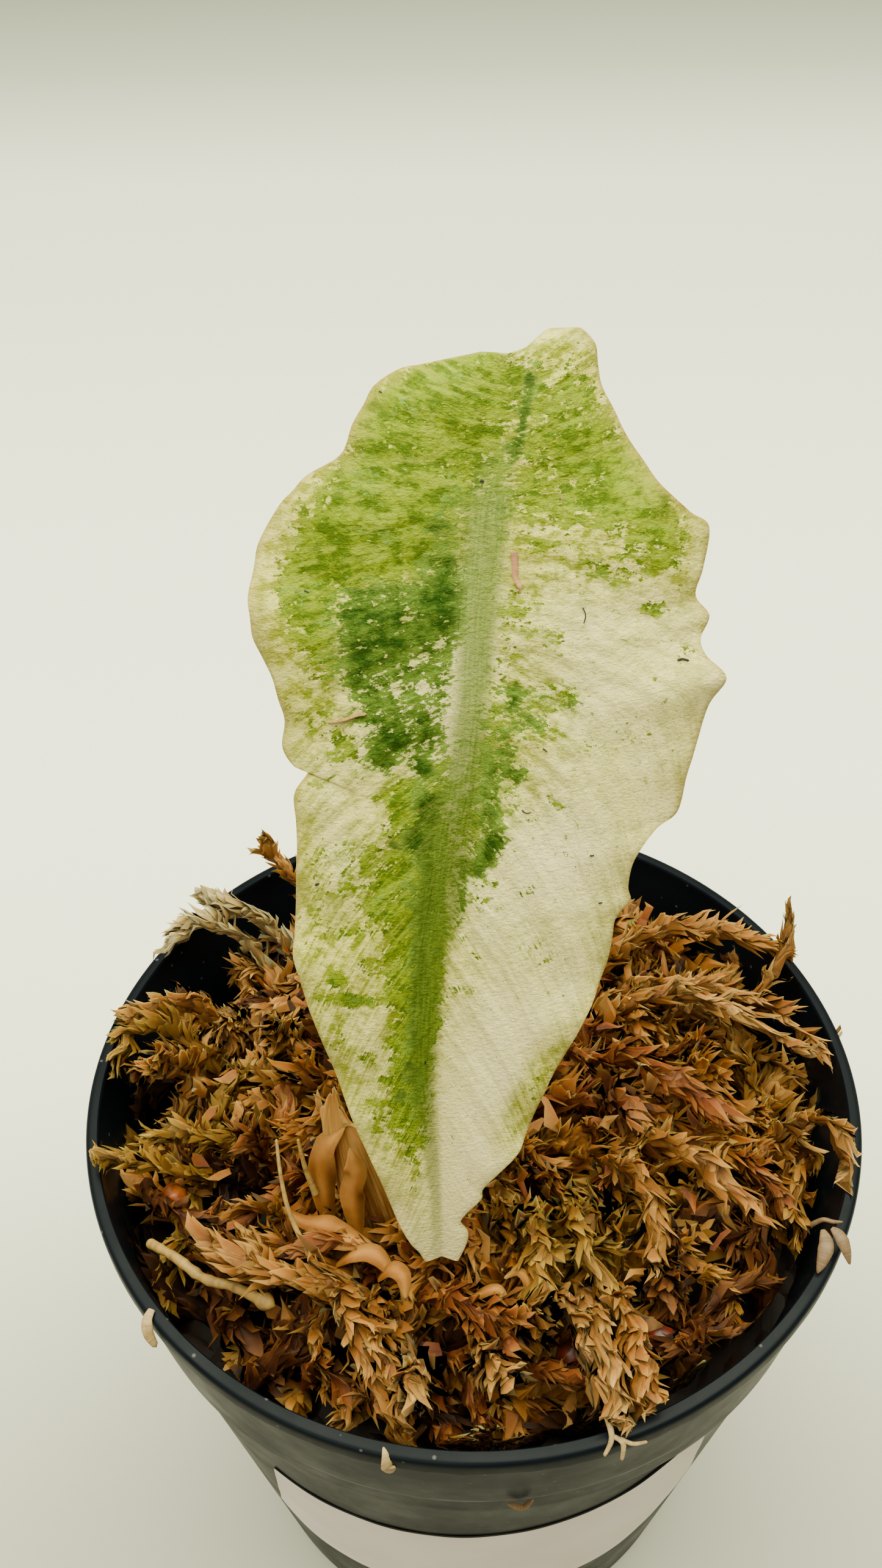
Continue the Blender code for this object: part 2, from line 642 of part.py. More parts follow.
def branch(name, route, girth, whorls, group):
    """A moss branch: a tapering stalk with whorls of pointed leaves, each whorl turned from the last."""
    rings, centres = [], []
    count = 2 * whorls + 1
    pitch = (route[-1] - route[0]).length / (count - 1)
    for step in range(count):
        share = step / (count - 1)
        centre = clear_of_pot(curve_point(route, share), girth)
        ahead = curve_point(route, min(share + 0.05, 1.0)) - curve_point(route, max(share - 0.05, 0.0))
        ahead.normalize()
        side = ahead.cross(Vector((0.0, 0.0, 1.0)))
        if side.length < 0.1:
            side = ahead.cross(Vector((1.0, 0.0, 0.0)))
        side.normalize()
        up = side.cross(ahead)
        taper = 1.0 - 0.45 * share
        ring = []
        for i in range(BRANCH_SIDES):
            angle = math.tau * i / BRANCH_SIDES
            width = 0.6
            if step % 2:
                width = 1.25 if (i + step // 2) % 2 else 0.6
            forward = 0.35 * pitch if width > 1.0 else 0.0
            way = side * math.cos(angle) + up * math.sin(angle)
            ring.append(centre + way * (girth * taper * width) + ahead * forward)
        rings.append(ring)
        centres.append(centre)
    tip = centres[-1] + (centres[-1] - centres[-2]).normalized() * girth * 1.3
    points = [point for ring in rings for point in ring] + [centres[0], tip]
    faces = []
    for step in range(count - 1):
        for i in range(BRANCH_SIDES):
            j = (i + 1) % BRANCH_SIDES
            a, b = step * BRANCH_SIDES + i, step * BRANCH_SIDES + j
            faces += [(a, b, b + BRANCH_SIDES), (a, b + BRANCH_SIDES, a + BRANCH_SIDES)]
    root, last = count * BRANCH_SIDES, (count - 1) * BRANCH_SIDES
    for i in range(BRANCH_SIDES):
        j = (i + 1) % BRANCH_SIDES
        faces += [(root, j, i), (root + 1, last + i, last + j)]
    return mesh_object(name, points, faces, group)


def field_branches(group):
    """The bed's many branches: an even spiral of roots, each branch lying outwards and drooping."""
    draw = random.Random(BRANCH_SEED)
    golden = math.pi * (3.0 - math.sqrt(5.0))
    for i in range(BRANCHES):
        reach = BRANCH_FIELD_RADIUS * math.sqrt((i + 0.7) / BRANCHES)
        bearing = i * golden + draw.uniform(-0.25, 0.25)
        root = Vector((reach * math.cos(bearing), reach * math.sin(bearing), 0.0))
        turn = blend(0.4, 1.45, (reach / BRANCH_FIELD_RADIUS) ** 2) * (1 if i % 2 else -1)
        heading = bearing + turn + draw.gauss(0.0, 0.3)
        length = draw.uniform(*BRANCH_LENGTH)
        girth = draw.uniform(*BRANCH_GIRTH)
        way = Vector((math.cos(heading), math.sin(heading), 0.0))
        start = root - way * (0.45 * length)
        end = root + way * (0.5 * length)
        route = []
        for step in range(4):
            share = step / 3
            spot = start.lerp(end, share)
            lift = 2.9 * MM * math.sin(math.pi * (0.12 + 0.74 * share)) - (2.4 * MM if step == 0 else 0.0)
            spot.z = POT_HEIGHT + moss_above(spot.x, spot.y) + lift + draw.uniform(-0.3, 0.5) * MM
            spot = spot + way.cross(Vector((0.0, 0.0, 1.0))) * draw.uniform(-0.8, 0.8) * MM
            route.append(clear_of_pot(spot, girth))
        branch(f"branch_{i}", route, girth, BRANCH_WHORLS, group)


# The branches that stand out in the bed, each as its route from root to tip, its girth and its whorls
STANDING_BRANCHES = [
    ([(-12.0, -22.0, -2.0), (-11.4, -25.6, 2.4), (-9.8, -29.0, 1.6), (-8.3, -32.0, -1.6)], 1.7, 5),
    ([(-4.5, -27.0, -3.0), (-5.4, -30.5, 0.6), (-5.0, -33.2, 0.4), (-4.2, -34.2, -0.8)], 1.7, 3),
    ([(-1.6, -23.4, -1.0), (0.2, -26.4, 3.0), (2.6, -28.4, 4.4), (4.4, -28.6, 5.0)], 1.7, 3),
    ([(-1.2, -26.0, -2.0), (-0.4, -29.6, 1.2), (1.2, -32.0, 2.0), (2.4, -32.8, 2.2)], 1.6, 3),
    ([(8.4, -24.0, -2.0), (8.6, -28.4, 2.2), (9.8, -32.2, 3.0), (11.2, -35.4, 2.6)], 1.2, 4),
    ([(12.2, -22.0, -2.0), (11.9, -26.6, 2.4), (12.2, -30.4, 3.2), (12.5, -33.6, 2.8)], 1.4, 4),
    ([(4.6, -15.0, 0.0), (5.0, -18.6, 3.8), (5.2, -22.0, 3.8), (5.4, -25.4, 2.6)], 1.5, 5),
    ([(-11.0, -20.6, -1.0), (-15.0, -22.2, 2.0), (-19.4, -21.4, 2.6), (-23.0, -19.4, 2.4)], 1.6, 5),
    ([(13.0, 15.0, -2.0), (19.5, 17.6, 1.8), (26.5, 17.2, 2.4), (32.0, 14.4, 3.4)], 1.7, 5),
    ([(28.0, 9.6, -4.0), (31.4, 11.2, 0.6), (33.4, 12.4, 3.6), (33.8, 13.6, 5.6)], 1.3, 3),
    ([(16.6, 13.0, -2.0), (21.6, 9.4, 1.8), (27.0, 6.0, 2.2), (31.8, 2.4, 1.8)], 1.5, 5),
    ([(24.6, -16.0, -4.0), (28.0, -18.4, 0.6), (30.4, -19.8, 2.6), (32.0, -20.6, 2.4)], 1.2, 3),
    ([(29.4, -4.6, -4.0), (32.4, -7.0, 1.0), (34.4, -9.4, 2.4), (34.8, -11.4, 2.3)], 1.2, 3),
    ([(-26.0, 4.6, -4.0), (-30.6, 5.8, 1.8), (-33.6, 5.0, 2.8), (-34.8, 2.6, 2.4)], 1.5, 4),
    ([(-25.0, -8.8, -4.0), (-29.0, -9.8, 0.8), (-32.6, -10.0, 2.4), (-34.6, -9.8, 2.3)], 1.4, 4),
    ([(-21.0, 18.4, -5.0), (-25.6, 19.4, 1.6), (-29.0, 19.0, 3.2), (-31.4, 17.4, 2.6)], 1.4, 4),
    ([(-14.0, 23.0, -6.0), (-18.0, 26.0, 0.8), (-20.6, 28.0, 3.0), (-21.8, 28.4, 4.4)], 1.3, 4),
    ([(14.0, -6.0, -2.0), (18.4, -9.4, 2.2), (22.0, -12.6, 2.0), (25.2, -15.6, 0.6)], 1.6, 5),
    ([(10.0, 2.0, -2.0), (15.0, 0.4, 2.6), (19.6, -2.4, 2.6), (23.6, -5.6, 1.2)], 1.7, 5),
]


def standing_branches(group):
    for i, (route, girth, whorls) in enumerate(STANDING_BRANCHES):
        branch(f"standing_{i}", [at(*point) for point in route], girth * MM, whorls, group)


def fertiliser_prill(name, place, group, look, grow=0.0):
    grain = bmesh.new()
    bmesh.ops.create_icosphere(grain, subdivisions=2, radius=PRILL_RADIUS + grow)
    bmesh.ops.translate(grain, vec=at(*place), verts=grain.verts)
    mesh = bpy.data.meshes.new(name)
    grain.to_mesh(mesh)
    grain.free()
    made = bpy.data.objects.new(name, mesh)
    group.objects.link(made)
    if look:
        mesh.materials.append(look)
    return smooth(made, 60.0)


def pale_stem(group, look, grow=0.0):
    """A bare pale stem that lies across the moss from the wall, with a knot at its broken end."""
    route = [at(*point) for point in PALE_STEM]
    steps = 12
    points = [curve_point(route, step / steps) for step in range(steps + 1)]
    if grow:
        points[0] = points[0] + (points[0] - points[1]).normalized() * grow
        points[-1] = points[-1] + (points[-1] - points[-2]).normalized() * grow
    radii = []
    for step in range(steps + 1):
        knot = 0.45 * math.exp(-((step / steps - 0.93) / 0.06) ** 2)
        radii.append(PALE_STEM_RADIUS * (0.85 + knot + 0.1 * math.sin(step * 2.1)) + grow)
    return smooth(tube("pale_stem", points, radii, group, look), 50.0)


def largest_piece(made):
    """Drops the scraps that cutting left loose, and keeps the one body."""
    shape = bmesh.new()
    shape.from_mesh(made.data)
    unseen = set(shape.verts)
    pieces = []
    while unseen:
        start = unseen.pop()
        piece, front = {start}, [start]
        while front:
            for edge in front.pop().link_edges:
                for vertex in edge.verts:
                    if vertex in unseen:
                        unseen.remove(vertex)
                        piece.add(vertex)
                        front.append(vertex)
        pieces.append(piece)
    pieces.sort(key=len, reverse=True)
    scraps = [vertex for piece in pieces[1:] for vertex in piece]
    bmesh.ops.delete(shape, geom=scraps, context="VERTS")
    shape.to_mesh(made.data)
    shape.free()
    return made


def moss_bed(group, look):
    """The bed with its branches fused on, hollowed for what stands or lies in it."""
    made = moss_bed_core(group)
    branches = collection("moss_branches")
    field_branches(branches)
    standing_branches(branches)
    boolean(made, branches, "UNION", "MANIFOLD")
    bpy.data.collections.remove(branches)
    hollows = collection("moss_hollows")
    petiole(hollows, None, grow=GAP)
    stem_sheath(hollows, None, grow=GAP)
    corm(hollows, None, grow=GAP)
    leaf_blade(hollows, None, grow=GAP)
    pale_stem(hollows, None, grow=GAP)
    for i, place in enumerate(PRILLS):
        fertiliser_prill(f"prill_hollow_{i}", place, hollows, None, grow=GAP)
    boolean(made, hollows, "DIFFERENCE", "MANIFOLD")
    bpy.data.collections.remove(hollows)
    largest_piece(made)
    made.data.materials.clear()
    made.data.materials.append(look)
    return smooth(made, 35.0)


def build():
    for old in list(bpy.data.objects):
        bpy.data.objects.remove(old)
    plant = collection("potted_alocasia")
    moss_bed(plant, material("dried_moss", (0.42, 0.22, 0.08), 0.85))
    pot(plant, material("pot_plastic", (0.02, 0.024, 0.03), 0.45))
    label(plant, material("label_paper", (0.82, 0.78, 0.77), 0.6))
    leaf_blade(plant, material("leaf_cream_and_green", (0.66, 0.68, 0.42), 0.4))
    petiole(plant, material("petiole_green", (0.36, 0.45, 0.16), 0.45))
    stem_sheath(plant, material("sheath_papery", (0.55, 0.36, 0.16), 0.7))
    corm(plant, material("corm_brown", (0.2, 0.11, 0.06), 0.8))
    pale_stem(plant, material("stem_straw", (0.62, 0.46, 0.2), 0.7))
    prill_look = material("prill_amber", (0.45, 0.1, 0.02), 0.35)
    for i, place in enumerate(PRILLS):
        fertiliser_prill(f"fertiliser_prill_{i + 1}", place, plant, prill_look)


build()
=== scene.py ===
# %% [markdown]
# # A young variegated alocasia in a small nursery pot
# One leaf stands in a pot of dried sphagnum moss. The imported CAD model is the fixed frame: it says where
# the pot, the moss, the leaf and its stem are, and this notebook dresses each of them in finer geometry
# and in the surface of the real thing. Lengths are in metres, +Z is up and the leaf faces -Y.

import math
import random

import bmesh
import bpy
import numpy as np
from mathutils import Matrix, Vector


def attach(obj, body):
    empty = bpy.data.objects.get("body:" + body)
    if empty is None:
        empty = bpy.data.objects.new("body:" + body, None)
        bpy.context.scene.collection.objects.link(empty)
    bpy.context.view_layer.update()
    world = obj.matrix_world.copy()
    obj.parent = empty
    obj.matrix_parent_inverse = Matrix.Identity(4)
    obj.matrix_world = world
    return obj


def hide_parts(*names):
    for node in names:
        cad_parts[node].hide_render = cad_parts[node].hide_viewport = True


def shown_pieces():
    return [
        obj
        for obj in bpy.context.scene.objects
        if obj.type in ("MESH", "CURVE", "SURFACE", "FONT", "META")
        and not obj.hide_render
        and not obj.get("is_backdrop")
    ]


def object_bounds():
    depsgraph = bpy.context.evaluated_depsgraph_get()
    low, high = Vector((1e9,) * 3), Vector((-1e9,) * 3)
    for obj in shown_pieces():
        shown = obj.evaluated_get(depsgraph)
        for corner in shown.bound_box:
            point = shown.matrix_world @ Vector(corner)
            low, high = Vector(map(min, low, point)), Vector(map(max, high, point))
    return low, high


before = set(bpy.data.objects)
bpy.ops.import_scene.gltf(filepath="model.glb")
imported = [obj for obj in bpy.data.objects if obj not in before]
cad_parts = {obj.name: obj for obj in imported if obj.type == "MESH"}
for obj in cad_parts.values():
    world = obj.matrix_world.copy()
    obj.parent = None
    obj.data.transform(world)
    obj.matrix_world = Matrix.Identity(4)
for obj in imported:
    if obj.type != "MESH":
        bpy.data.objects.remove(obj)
cad_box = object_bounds()
print("CAD box in mm:", [[round(c * 1000, 1) for c in corner] for corner in cad_box])

# %% [markdown]
# ## Shared measures
# The pot's measures and the leaf's outline are the ones that the CAD source was drawn from. Repeating the
# numbers lets each fine piece be made again from the same rule, so that it lies exactly where the CAD
# solid lies, instead of being pushed into place afterwards.

# %% Measures of the pot and of the leaf's arc
MM = 0.001
RIM_RADIUS = 38.0 * MM
RIM = 68.0 * MM  # height of the pot
LIP_DROP = 1.8 * MM
COLLAR_DROP = 14.2 * MM
COLLAR_FOOT_RADIUS = 35.9 * MM
COLLAR_STEP = 0.55 * MM
BODY_TAPER = 0.166
WALL = 0.9 * MM
COLLAR_FOOT = RIM - COLLAR_DROP
LEAF_TIP = Vector((0.0, -21.3 * MM, RIM + 2.6 * MM))
LEAN_AT_TIP = math.radians(10.0)
LEAN_GAIN = math.radians(26.0) / (75.0 * MM)


def at(x, y, above):
    """A point in millimetres, with its height counted from the pot's rim."""
    return Vector((x * MM, y * MM, RIM + above * MM))


def body_radius(height):
    """The outer radius of the pot's cone."""
    return COLLAR_FOOT_RADIUS - COLLAR_STEP - BODY_TAPER * (COLLAR_FOOT - height)


def inner_radius(height):
    """The radius of the pot's inside, for a number or an array of heights."""
    share = np.clip((height - COLLAR_FOOT) / (COLLAR_DROP - LIP_DROP), 0.0, 1.0)
    collar = COLLAR_FOOT_RADIUS - COLLAR_STEP - WALL
    collar = collar + (RIM_RADIUS - 1.45 * MM - collar) * share
    return np.where(height < COLLAR_FOOT, body_radius(height) - WALL, collar)


# %% [markdown]
# ## Colours and nodes
# Colours are written as the hex values one would pick from a screen. A renderer adds light, so it needs
# linear values: one function turns them. Materials are built from nodes, and one small function adds any
# node with its settings, its sockets' values and its links. The others lay coats of colour, add up
# weighted numbers, draw out a noise, and wire a finished look to its shader.

# %% Helpers for materials
def linear(hex_colour):
    """A screen colour such as "#8fab7a" as linear red, green, blue and alpha."""
    parts = [int(hex_colour[i : i + 2], 16) / 255.0 for i in (1, 3, 5)]
    return (*[p / 12.92 if p <= 0.04045 else ((p + 0.055) / 1.055) ** 2.4 for p in parts], 1.0)


def add(look, kind, inputs=(), out=0, stops=(), **settings):
    """Adds one node, sets it up and gives back one of its outputs.

    The inputs follow the node's own order, or go by name or number. Each is another node's output, a fixed
    value or a hex colour. The stops are the places and hex colours of a colour ramp, from low to high.
    """
    node = look.node_tree.nodes.new("ShaderNode" + kind)
    for name, value in settings.items():
        setattr(node, name, value)
    for socket, value in inputs.items() if isinstance(inputs, dict) else enumerate(inputs):
        if isinstance(value, bpy.types.NodeSocket):
            look.node_tree.links.new(value, node.inputs[socket])
        else:
            node.inputs[socket].default_value = linear(value) if isinstance(value, str) else value
    if stops:
        marks = node.color_ramp.elements
        marks[0].position, marks[1].position = stops[0][0], stops[-1][0]
        for place, _ in stops[1:-1]:
            marks.new(place)
        for mark, (_, colour) in zip(marks, stops):
            mark.color = linear(colour)
    return node.outputs[out]


def new_look(name, roughness, ior, **sockets):
    """A material with one Principled shader, whose fixed values sit on its own sockets."""
    look = bpy.data.materials.new(name)
    look.use_nodes = True
    shader = look.node_tree.nodes["Principled BSDF"]
    shader.inputs["Roughness"].default_value = roughness
    shader.inputs["IOR"].default_value = ior
    for socket, value in sockets.items():
        shader.inputs[socket.replace("_", " ")].default_value = value
    return look, shader


def cover(look, shader, tone, height, strength, depth, around=None, **sources):
    """Links the colour, a bump of a real depth in metres, and any other measures to the shader."""
    relief = {"Strength": strength, "Distance": depth, "Height": height, **(around or {})}
    for socket, source in {"Base Color": tone, "Normal": add(look, "Bump", relief), **sources}.items():
        look.node_tree.links.new(source, shader.inputs[socket])
    return look


def layered(look, ground, *coats):
    """Coats of colour laid over a ground one after another, each with how much of it covers, 0 to 1."""
    for share, colour in coats:
        ground = add(look, "Mix", {0: share, 6: ground, 7: colour}, out=2, data_type="RGBA")
    return ground


def summed(look, *pairs):
    """Several numbers added up, each times its own weight."""
    total = 0.0
    for source, weight in pairs:
        total = add(look, "Math", [source, weight, total], operation="MULTIPLY_ADD")
    return total


def noise(look, way, scale, stretch=(1.0, 1.0, 1.0), detail=4.0, rough=0.6):
    """Noise drawn out along some axes and spread over most of 0 to 1. In metres, 1000 makes it 1 mm."""
    drawn = add(look, "Mapping", {"Vector": way, "Scale": stretch})
    found = add(look, "TexNoise", {"Vector": drawn, "Scale": scale, "Detail": detail, "Roughness": rough})
    return add(look, "MapRange", [found, 0.34, 0.66])


# %% [markdown]
# ## Meshes from arrays
# Moss has tens of thousands of leaves, so the meshes are filled from NumPy arrays of points and triangles.
# Each mesh also keeps measures at its points, such as how far along its leaf a point is. The materials
# read these instead of a texture image.

# %% Helpers for meshes
def piece(name, points, triangles, look, slot, stands_for=(), sharp=45.0, **measures):
    """A piece of the plant or pot from arrays. It rides on the one body and keeps its measures."""
    points, triangles = np.asarray(points, float), np.asarray(triangles, int)
    mesh = bpy.data.meshes.new(name)
    mesh.vertices.add(len(points))
    mesh.vertices.foreach_set("co", points.ravel())
    mesh.loops.add(triangles.size)
    mesh.loops.foreach_set("vertex_index", triangles.ravel())
    mesh.polygons.add(len(triangles))
    mesh.polygons.foreach_set("loop_start", np.arange(len(triangles)) * 3)
    mesh.update(calc_edges=True)
    for label, values in measures.items():
        values = np.asarray(values, float)
        kind, slot_name = ("FLOAT", "value") if values.ndim == 1 else ("FLOAT_VECTOR", "vector")
        mesh.attributes.new(label, kind, "POINT").data.foreach_set(slot_name, values.ravel())
    mesh.materials.append(look)
    mesh.shade_smooth()
    mesh.set_sharp_from_angle(angle=math.radians(sharp))
    made = bpy.data.objects.new(name, mesh)
    bpy.context.scene.collection.objects.link(made)
    return settle(made, stands_for)


def settle(made, stands_for=()):
    """Ties a finished piece to the body and hides the CAD nodes it stands for."""
    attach(made, "root")
    if stands_for:
        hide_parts(*stands_for)
    print(f"{made.name}: {len(made.data.polygons)} faces")
    return made


def grid_triangles(rows, columns, start=0, flip=False, closed=False):
    """Triangles over a grid of points, whose columns may close on themselves."""
    across = columns if closed else columns - 1
    row, column = np.meshgrid(np.arange(rows - 1), np.arange(across), indexing="ij")
    after = (column + 1) % columns
    a, b = row * columns + column, row * columns + after
    c, d = (row + 1) * columns + after, (row + 1) * columns + column
    found = np.stack([a, b, c, a, c, d], -1).reshape(-1, 3) + start
    return found[:, ::-1] if flip else found


def curve(route, shares):
    """Points on the smooth curve through a route, for shares from 0 to 1."""
    route = np.array([tuple(p) for p in route])
    place = np.clip(shares, 0.0, 1.0) * (len(route) - 1)
    here = np.minimum(place.astype(int), len(route) - 2)
    step = (place - here)[:, None]
    before, first = route[np.maximum(here - 1, 0)], route[here]
    second, after = route[here + 1], route[np.minimum(here + 2, len(route) - 1)]
    return 0.5 * (
        2.0 * first
        + (second - before) * step
        + (2.0 * before - 5.0 * first + 4.0 * second - after) * step**2
        + (3.0 * first - before - 3.0 * second + after) * step**3
    )


def unit(vectors):
    return vectors / np.maximum(np.linalg.norm(vectors, axis=-1, keepdims=True), 1e-12)


def frames_along(spots):
    """The way ahead, a side and an up direction at each point of a line."""
    ahead = unit(np.gradient(spots, axis=0))
    side = np.cross(ahead, np.array([0.0, 0.0, 1.0]))
    side[np.linalg.norm(side, axis=1) < 0.15] = (1.0, 0.0, 0.0)
    side = unit(side - ahead * np.sum(side * ahead, axis=1, keepdims=True))
    return ahead, side, np.cross(side, ahead)


def tube(route, radii, sides=10, rings=24, flat=1.0):
    """Points, triangles and shares of a closed tapering tube. Flat under 1 makes it a ribbon."""
    shares = np.linspace(0.0, 1.0, rings)
    spots = curve(route, shares)
    ahead, side, up = frames_along(spots)
    girth = np.interp(shares, np.linspace(0.0, 1.0, len(radii)), radii)[:, None, None]
    turn = np.linspace(0.0, math.tau, sides, endpoint=False)[None, :, None]
    skin = spots[:, None] + girth * (np.cos(turn) * side[:, None] + flat * np.sin(turn) * up[:, None])
    points = np.concatenate([skin.reshape(-1, 3), spots[:1], spots[-1:] + ahead[-1:] * girth[-1, 0]])
    faces = [grid_triangles(rings, sides, closed=True, flip=True)]
    ring = np.arange(sides)
    after, foot, tip = (ring + 1) % sides, rings * sides, rings * sides + 1
    faces.append(np.stack([ring, after, np.full(sides, foot)], -1))
    last = (rings - 1) * sides
    faces.append(np.stack([last + after, last + ring, np.full(sides, tip)], -1))
    return points, np.concatenate(faces), np.r_[np.repeat(shares, sides), 0.0, 1.0]


def joined(tubes):
    """Several tubes put together: their points, their triangles and their shares."""
    points, faces, shares = zip(*tubes)
    starts = np.cumsum([0, *map(len, points)])
    faces = [own + start for own, start in zip(faces, starts)]
    return np.concatenate(points), np.concatenate(faces), np.concatenate(shares)


# %% [markdown]
# ## The camera
# The photograph was taken from above and in front, at about 42 degrees. Its lens and place were worked
# out from the ellipses of the pot's rim, lip and collar. The camera comes first, so that every later
# step can be looked at from the same place.

# %% Set the camera as in the photograph
FRAME_HEIGHT = 2569  # in pixels
FOCAL_PIXELS = 2400.0
FILM = 36.0  # mm, along the picture's height
CAMERA_PLACE = (-2.5 * MM, -89.2 * MM, 187.1 * MM)
PITCH, ROLL = math.radians(41.75), math.radians(-1.1)
forward = Vector((0.0, math.cos(PITCH), -math.sin(PITCH)))
level = Vector((1.0, 0.0, 0.0))
above = level.cross(forward)
right = math.cos(ROLL) * level + math.sin(ROLL) * above
up = math.cos(ROLL) * above - math.sin(ROLL) * level
lens = bpy.data.cameras.new("camera")
lens.sensor_fit = "AUTO"
lens.sensor_width = FILM
lens.lens = FILM * FOCAL_PIXELS / FRAME_HEIGHT
lens.clip_start, lens.clip_end = 0.01, 20.0
camera = bpy.data.objects.new("camera", lens)
turn = Matrix((right, up, -forward)).transposed().to_4x4()
camera.matrix_world = Matrix.Translation(CAMERA_PLACE) @ turn
bpy.context.scene.collection.objects.link(camera)
bpy.context.scene.camera = camera
print("lens in mm:", round(lens.lens, 2))

# %% [markdown]
# ## Floor and light
# The plant stands on a pale matt sheet that sweeps up behind it. A broad panel overhead gives most of the
# light, and the room's own glow is stronger from above and from behind the plant, so the shadows are
# soft and close to the pot. A small weak panel in front opens up the shade under the leaf.

# %% Make the paper sweep
# The sheet's colour from front to back, painted darker far in front and where it turns up, as painted shade
SWEEP_PAINTED_SHADE = [
    (0.0, "#5d5a50"), (0.3, "#8a877b"), (0.349, "#a5a396"), (0.379, "#bfbeb0"), (0.41, "#d7d8ca"),
    (0.47, "#e1e2d5"), (0.55, "#dedfd2"), (0.68, "#d3d4c8"), (0.77, "#d2d3c7"), (0.887, "#a7a89c"),
    (1.0, "#929387"),
]


def paper_sweep_look():
    """Uncoated pale card: matt, with a faint tooth, and painted shade that makes it darker far in front and
    where it turns up at the back.
    """
    look, shader = new_look("paper_sweep", 0.9, 1.45, Specular_IOR_Level=0.2)
    place = add(look, "TexCoord", out="Object")
    back = add(look, "MapRange", [add(look, "SeparateXYZ", [place], "Y"), -0.4, 0.7])
    tone = add(look, "ValToRGB", [back], stops=SWEEP_PAINTED_SHADE)
    tooth = add(look, "TexNoise", {"Vector": place, "Scale": 900.0, "Detail": 3.0})
    return cover(look, shader, tone, tooth, 0.05, 0.2 * MM)


# Distance back and height in metres
sweep_profile = [(-1.6, 0.0), (0.7, 0.0), (0.95, 0.04), (1.15, 0.16), (1.28, 0.36), (1.34, 0.62), (1.36, 1.6)]
sweep_mesh = bpy.data.meshes.new("paper_sweep")
sweep_mesh.from_pydata(
    [(x, y, z) for y, z in sweep_profile for x in (-2.2, 2.2)],
    [],
    [(2 * i, 2 * i + 1, 2 * i + 3, 2 * i + 2) for i in range(len(sweep_profile) - 1)],
)
sweep_mesh.shade_smooth()
sweep_mesh.materials.append(paper_sweep_look())
sweep = bpy.data.objects.new("paper_sweep", sweep_mesh)
bpy.context.scene.collection.objects.link(sweep)
sweep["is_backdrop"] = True


# %% Light it softly
def panel(name, place, target, width, height, watts, colour):
    light = bpy.data.lights.new(name, "AREA")
    light.shape = "RECTANGLE"
    light.size, light.size_y = width, height
    light.energy = watts
    light.color = linear(colour)[:3]
    made = bpy.data.objects.new(name, light)
    made.location = place
    made.rotation_euler = (Vector(target) - Vector(place)).to_track_quat("-Z", "Y").to_euler()
    bpy.context.scene.collection.objects.link(made)
    return made


world = bpy.data.worlds.new("room")
bpy.context.scene.world = world
world.use_nodes = True
sky = world.node_tree.nodes["Background"]
sky.inputs["Color"].default_value = linear("#f5f8dc")
way = add(world, "TexCoord", out="Generated")
from_above = add(world, "MapRange", [add(world, "SeparateXYZ", [way], "Z"), 0.0, 0.8, 0.12, 1.9])
from_behind = add(world, "MapRange", [add(world, "SeparateXYZ", [way], "Y"), -0.8, 0.5, 0.12, 1.0])
glow = add(world, "Math", [from_above, from_behind], operation="MULTIPLY")
world.node_tree.links.new(glow, sky.inputs["Strength"])
panel("ceiling_panel", (0.0, 0.06, 0.95), (0.0, 0.03, 0.05), 1.3, 1.0, 46.0, "#f8fbdc")
panel("front_fill", (-0.35, -0.75, 0.55), (0.0, 0.0, 0.1), 0.7, 0.5, 4.0, "#fbfbee")
print("lights:", [light.name for light in bpy.data.lights])

# %% [markdown]
# ## The pot
# A 76 mm nursery pot is injection moulded in black polypropylene, often recycled, with a rolled lip, a
# plain collar and a raised floor with drain holes. A pot like this is a turned shape, so its profile is
# spun round the axis in fine steps. The lip's lower edge is not clean on the real one, so it wavers a
# little. The holes and the foot's notches are cut with a Boolean.

# %% Spin the pot's profile
POT_STEPS = 240
POT_SHARP = 40.0  # degrees


def spun(profile, steps, waver=None):
    """Points and triangles of a closed profile turned about Z. Waver moves some of its rings up or down."""
    turns = np.linspace(0.0, math.tau, steps, endpoint=False)
    radius, height = (np.array(values)[:, None] for values in zip(*profile))
    height = np.repeat(height, steps, axis=1)
    for ring, drop in (waver or {}).items():
        height[ring] += drop(turns)
    grid = np.stack([radius * np.cos(turns), radius * np.sin(turns), height], -1)
    points = grid.reshape(-1, 3)
    faces = grid_triangles(len(profile), steps, closed=True)
    closing = grid_triangles(2, steps, closed=True)
    closing = np.where(closing >= steps, closing - steps, closing + (len(profile) - 1) * steps)
    return points, np.concatenate([faces, closing])


def ragged(turns):
    """The moulding's uneven parting edge under the lip, up to a tenth of a millimetre up or down."""
    wave = np.sin(turns * 37.0 + 2.0 * np.sin(turns * 11.0)) + 0.7 * np.sin(turns * 83.0 + 1.0)
    return 0.07 * MM * wave


LIP_FOOT = RIM - LIP_DROP
MOULDING_LINE = RIM - 10.6 * MM
LIP_RINGS = (7, 8)  # the profile's points along the lip's lower edge
# Radius and height in mm: over the lip, down the outside, under the floor, and up the inside
pot_profile = [
    (36.87, 68.0), (37.3, 68.0), (37.62, 67.96), (37.85, 67.85), (37.97, 67.62), (38.0, 67.3), (38.0, 66.7),
    (37.98, 66.32), (37.8, 66.2), (37.66, 66.06), (37.6, 65.6), (36.9, 60.7), (36.05, 54.7), (35.95, 54.1),
    (35.82, 53.82), (35.5, 53.62), (35.28, 53.3), (34.2, 46.4), (30.5, 24.1), (26.72, 1.3), (26.6, 0.7),
    (26.3, 0.25), (25.8, 0.0), (24.4, 0.0), (24.1, 0.3), (24.0, 2.4), (12.0, 2.4), (3.0, 2.4), (3.0, 3.5),
    (12.0, 3.5), (24.9, 3.5), (25.7, 3.7), (26.2, 4.5), (30.0, 27.4), (34.36, 53.8), (36.4, 65.6),
    (36.62, 66.4), (36.7, 67.6), (36.74, 67.88),
]
pot_profile = [(radius * MM, height * MM) for radius, height in pot_profile]
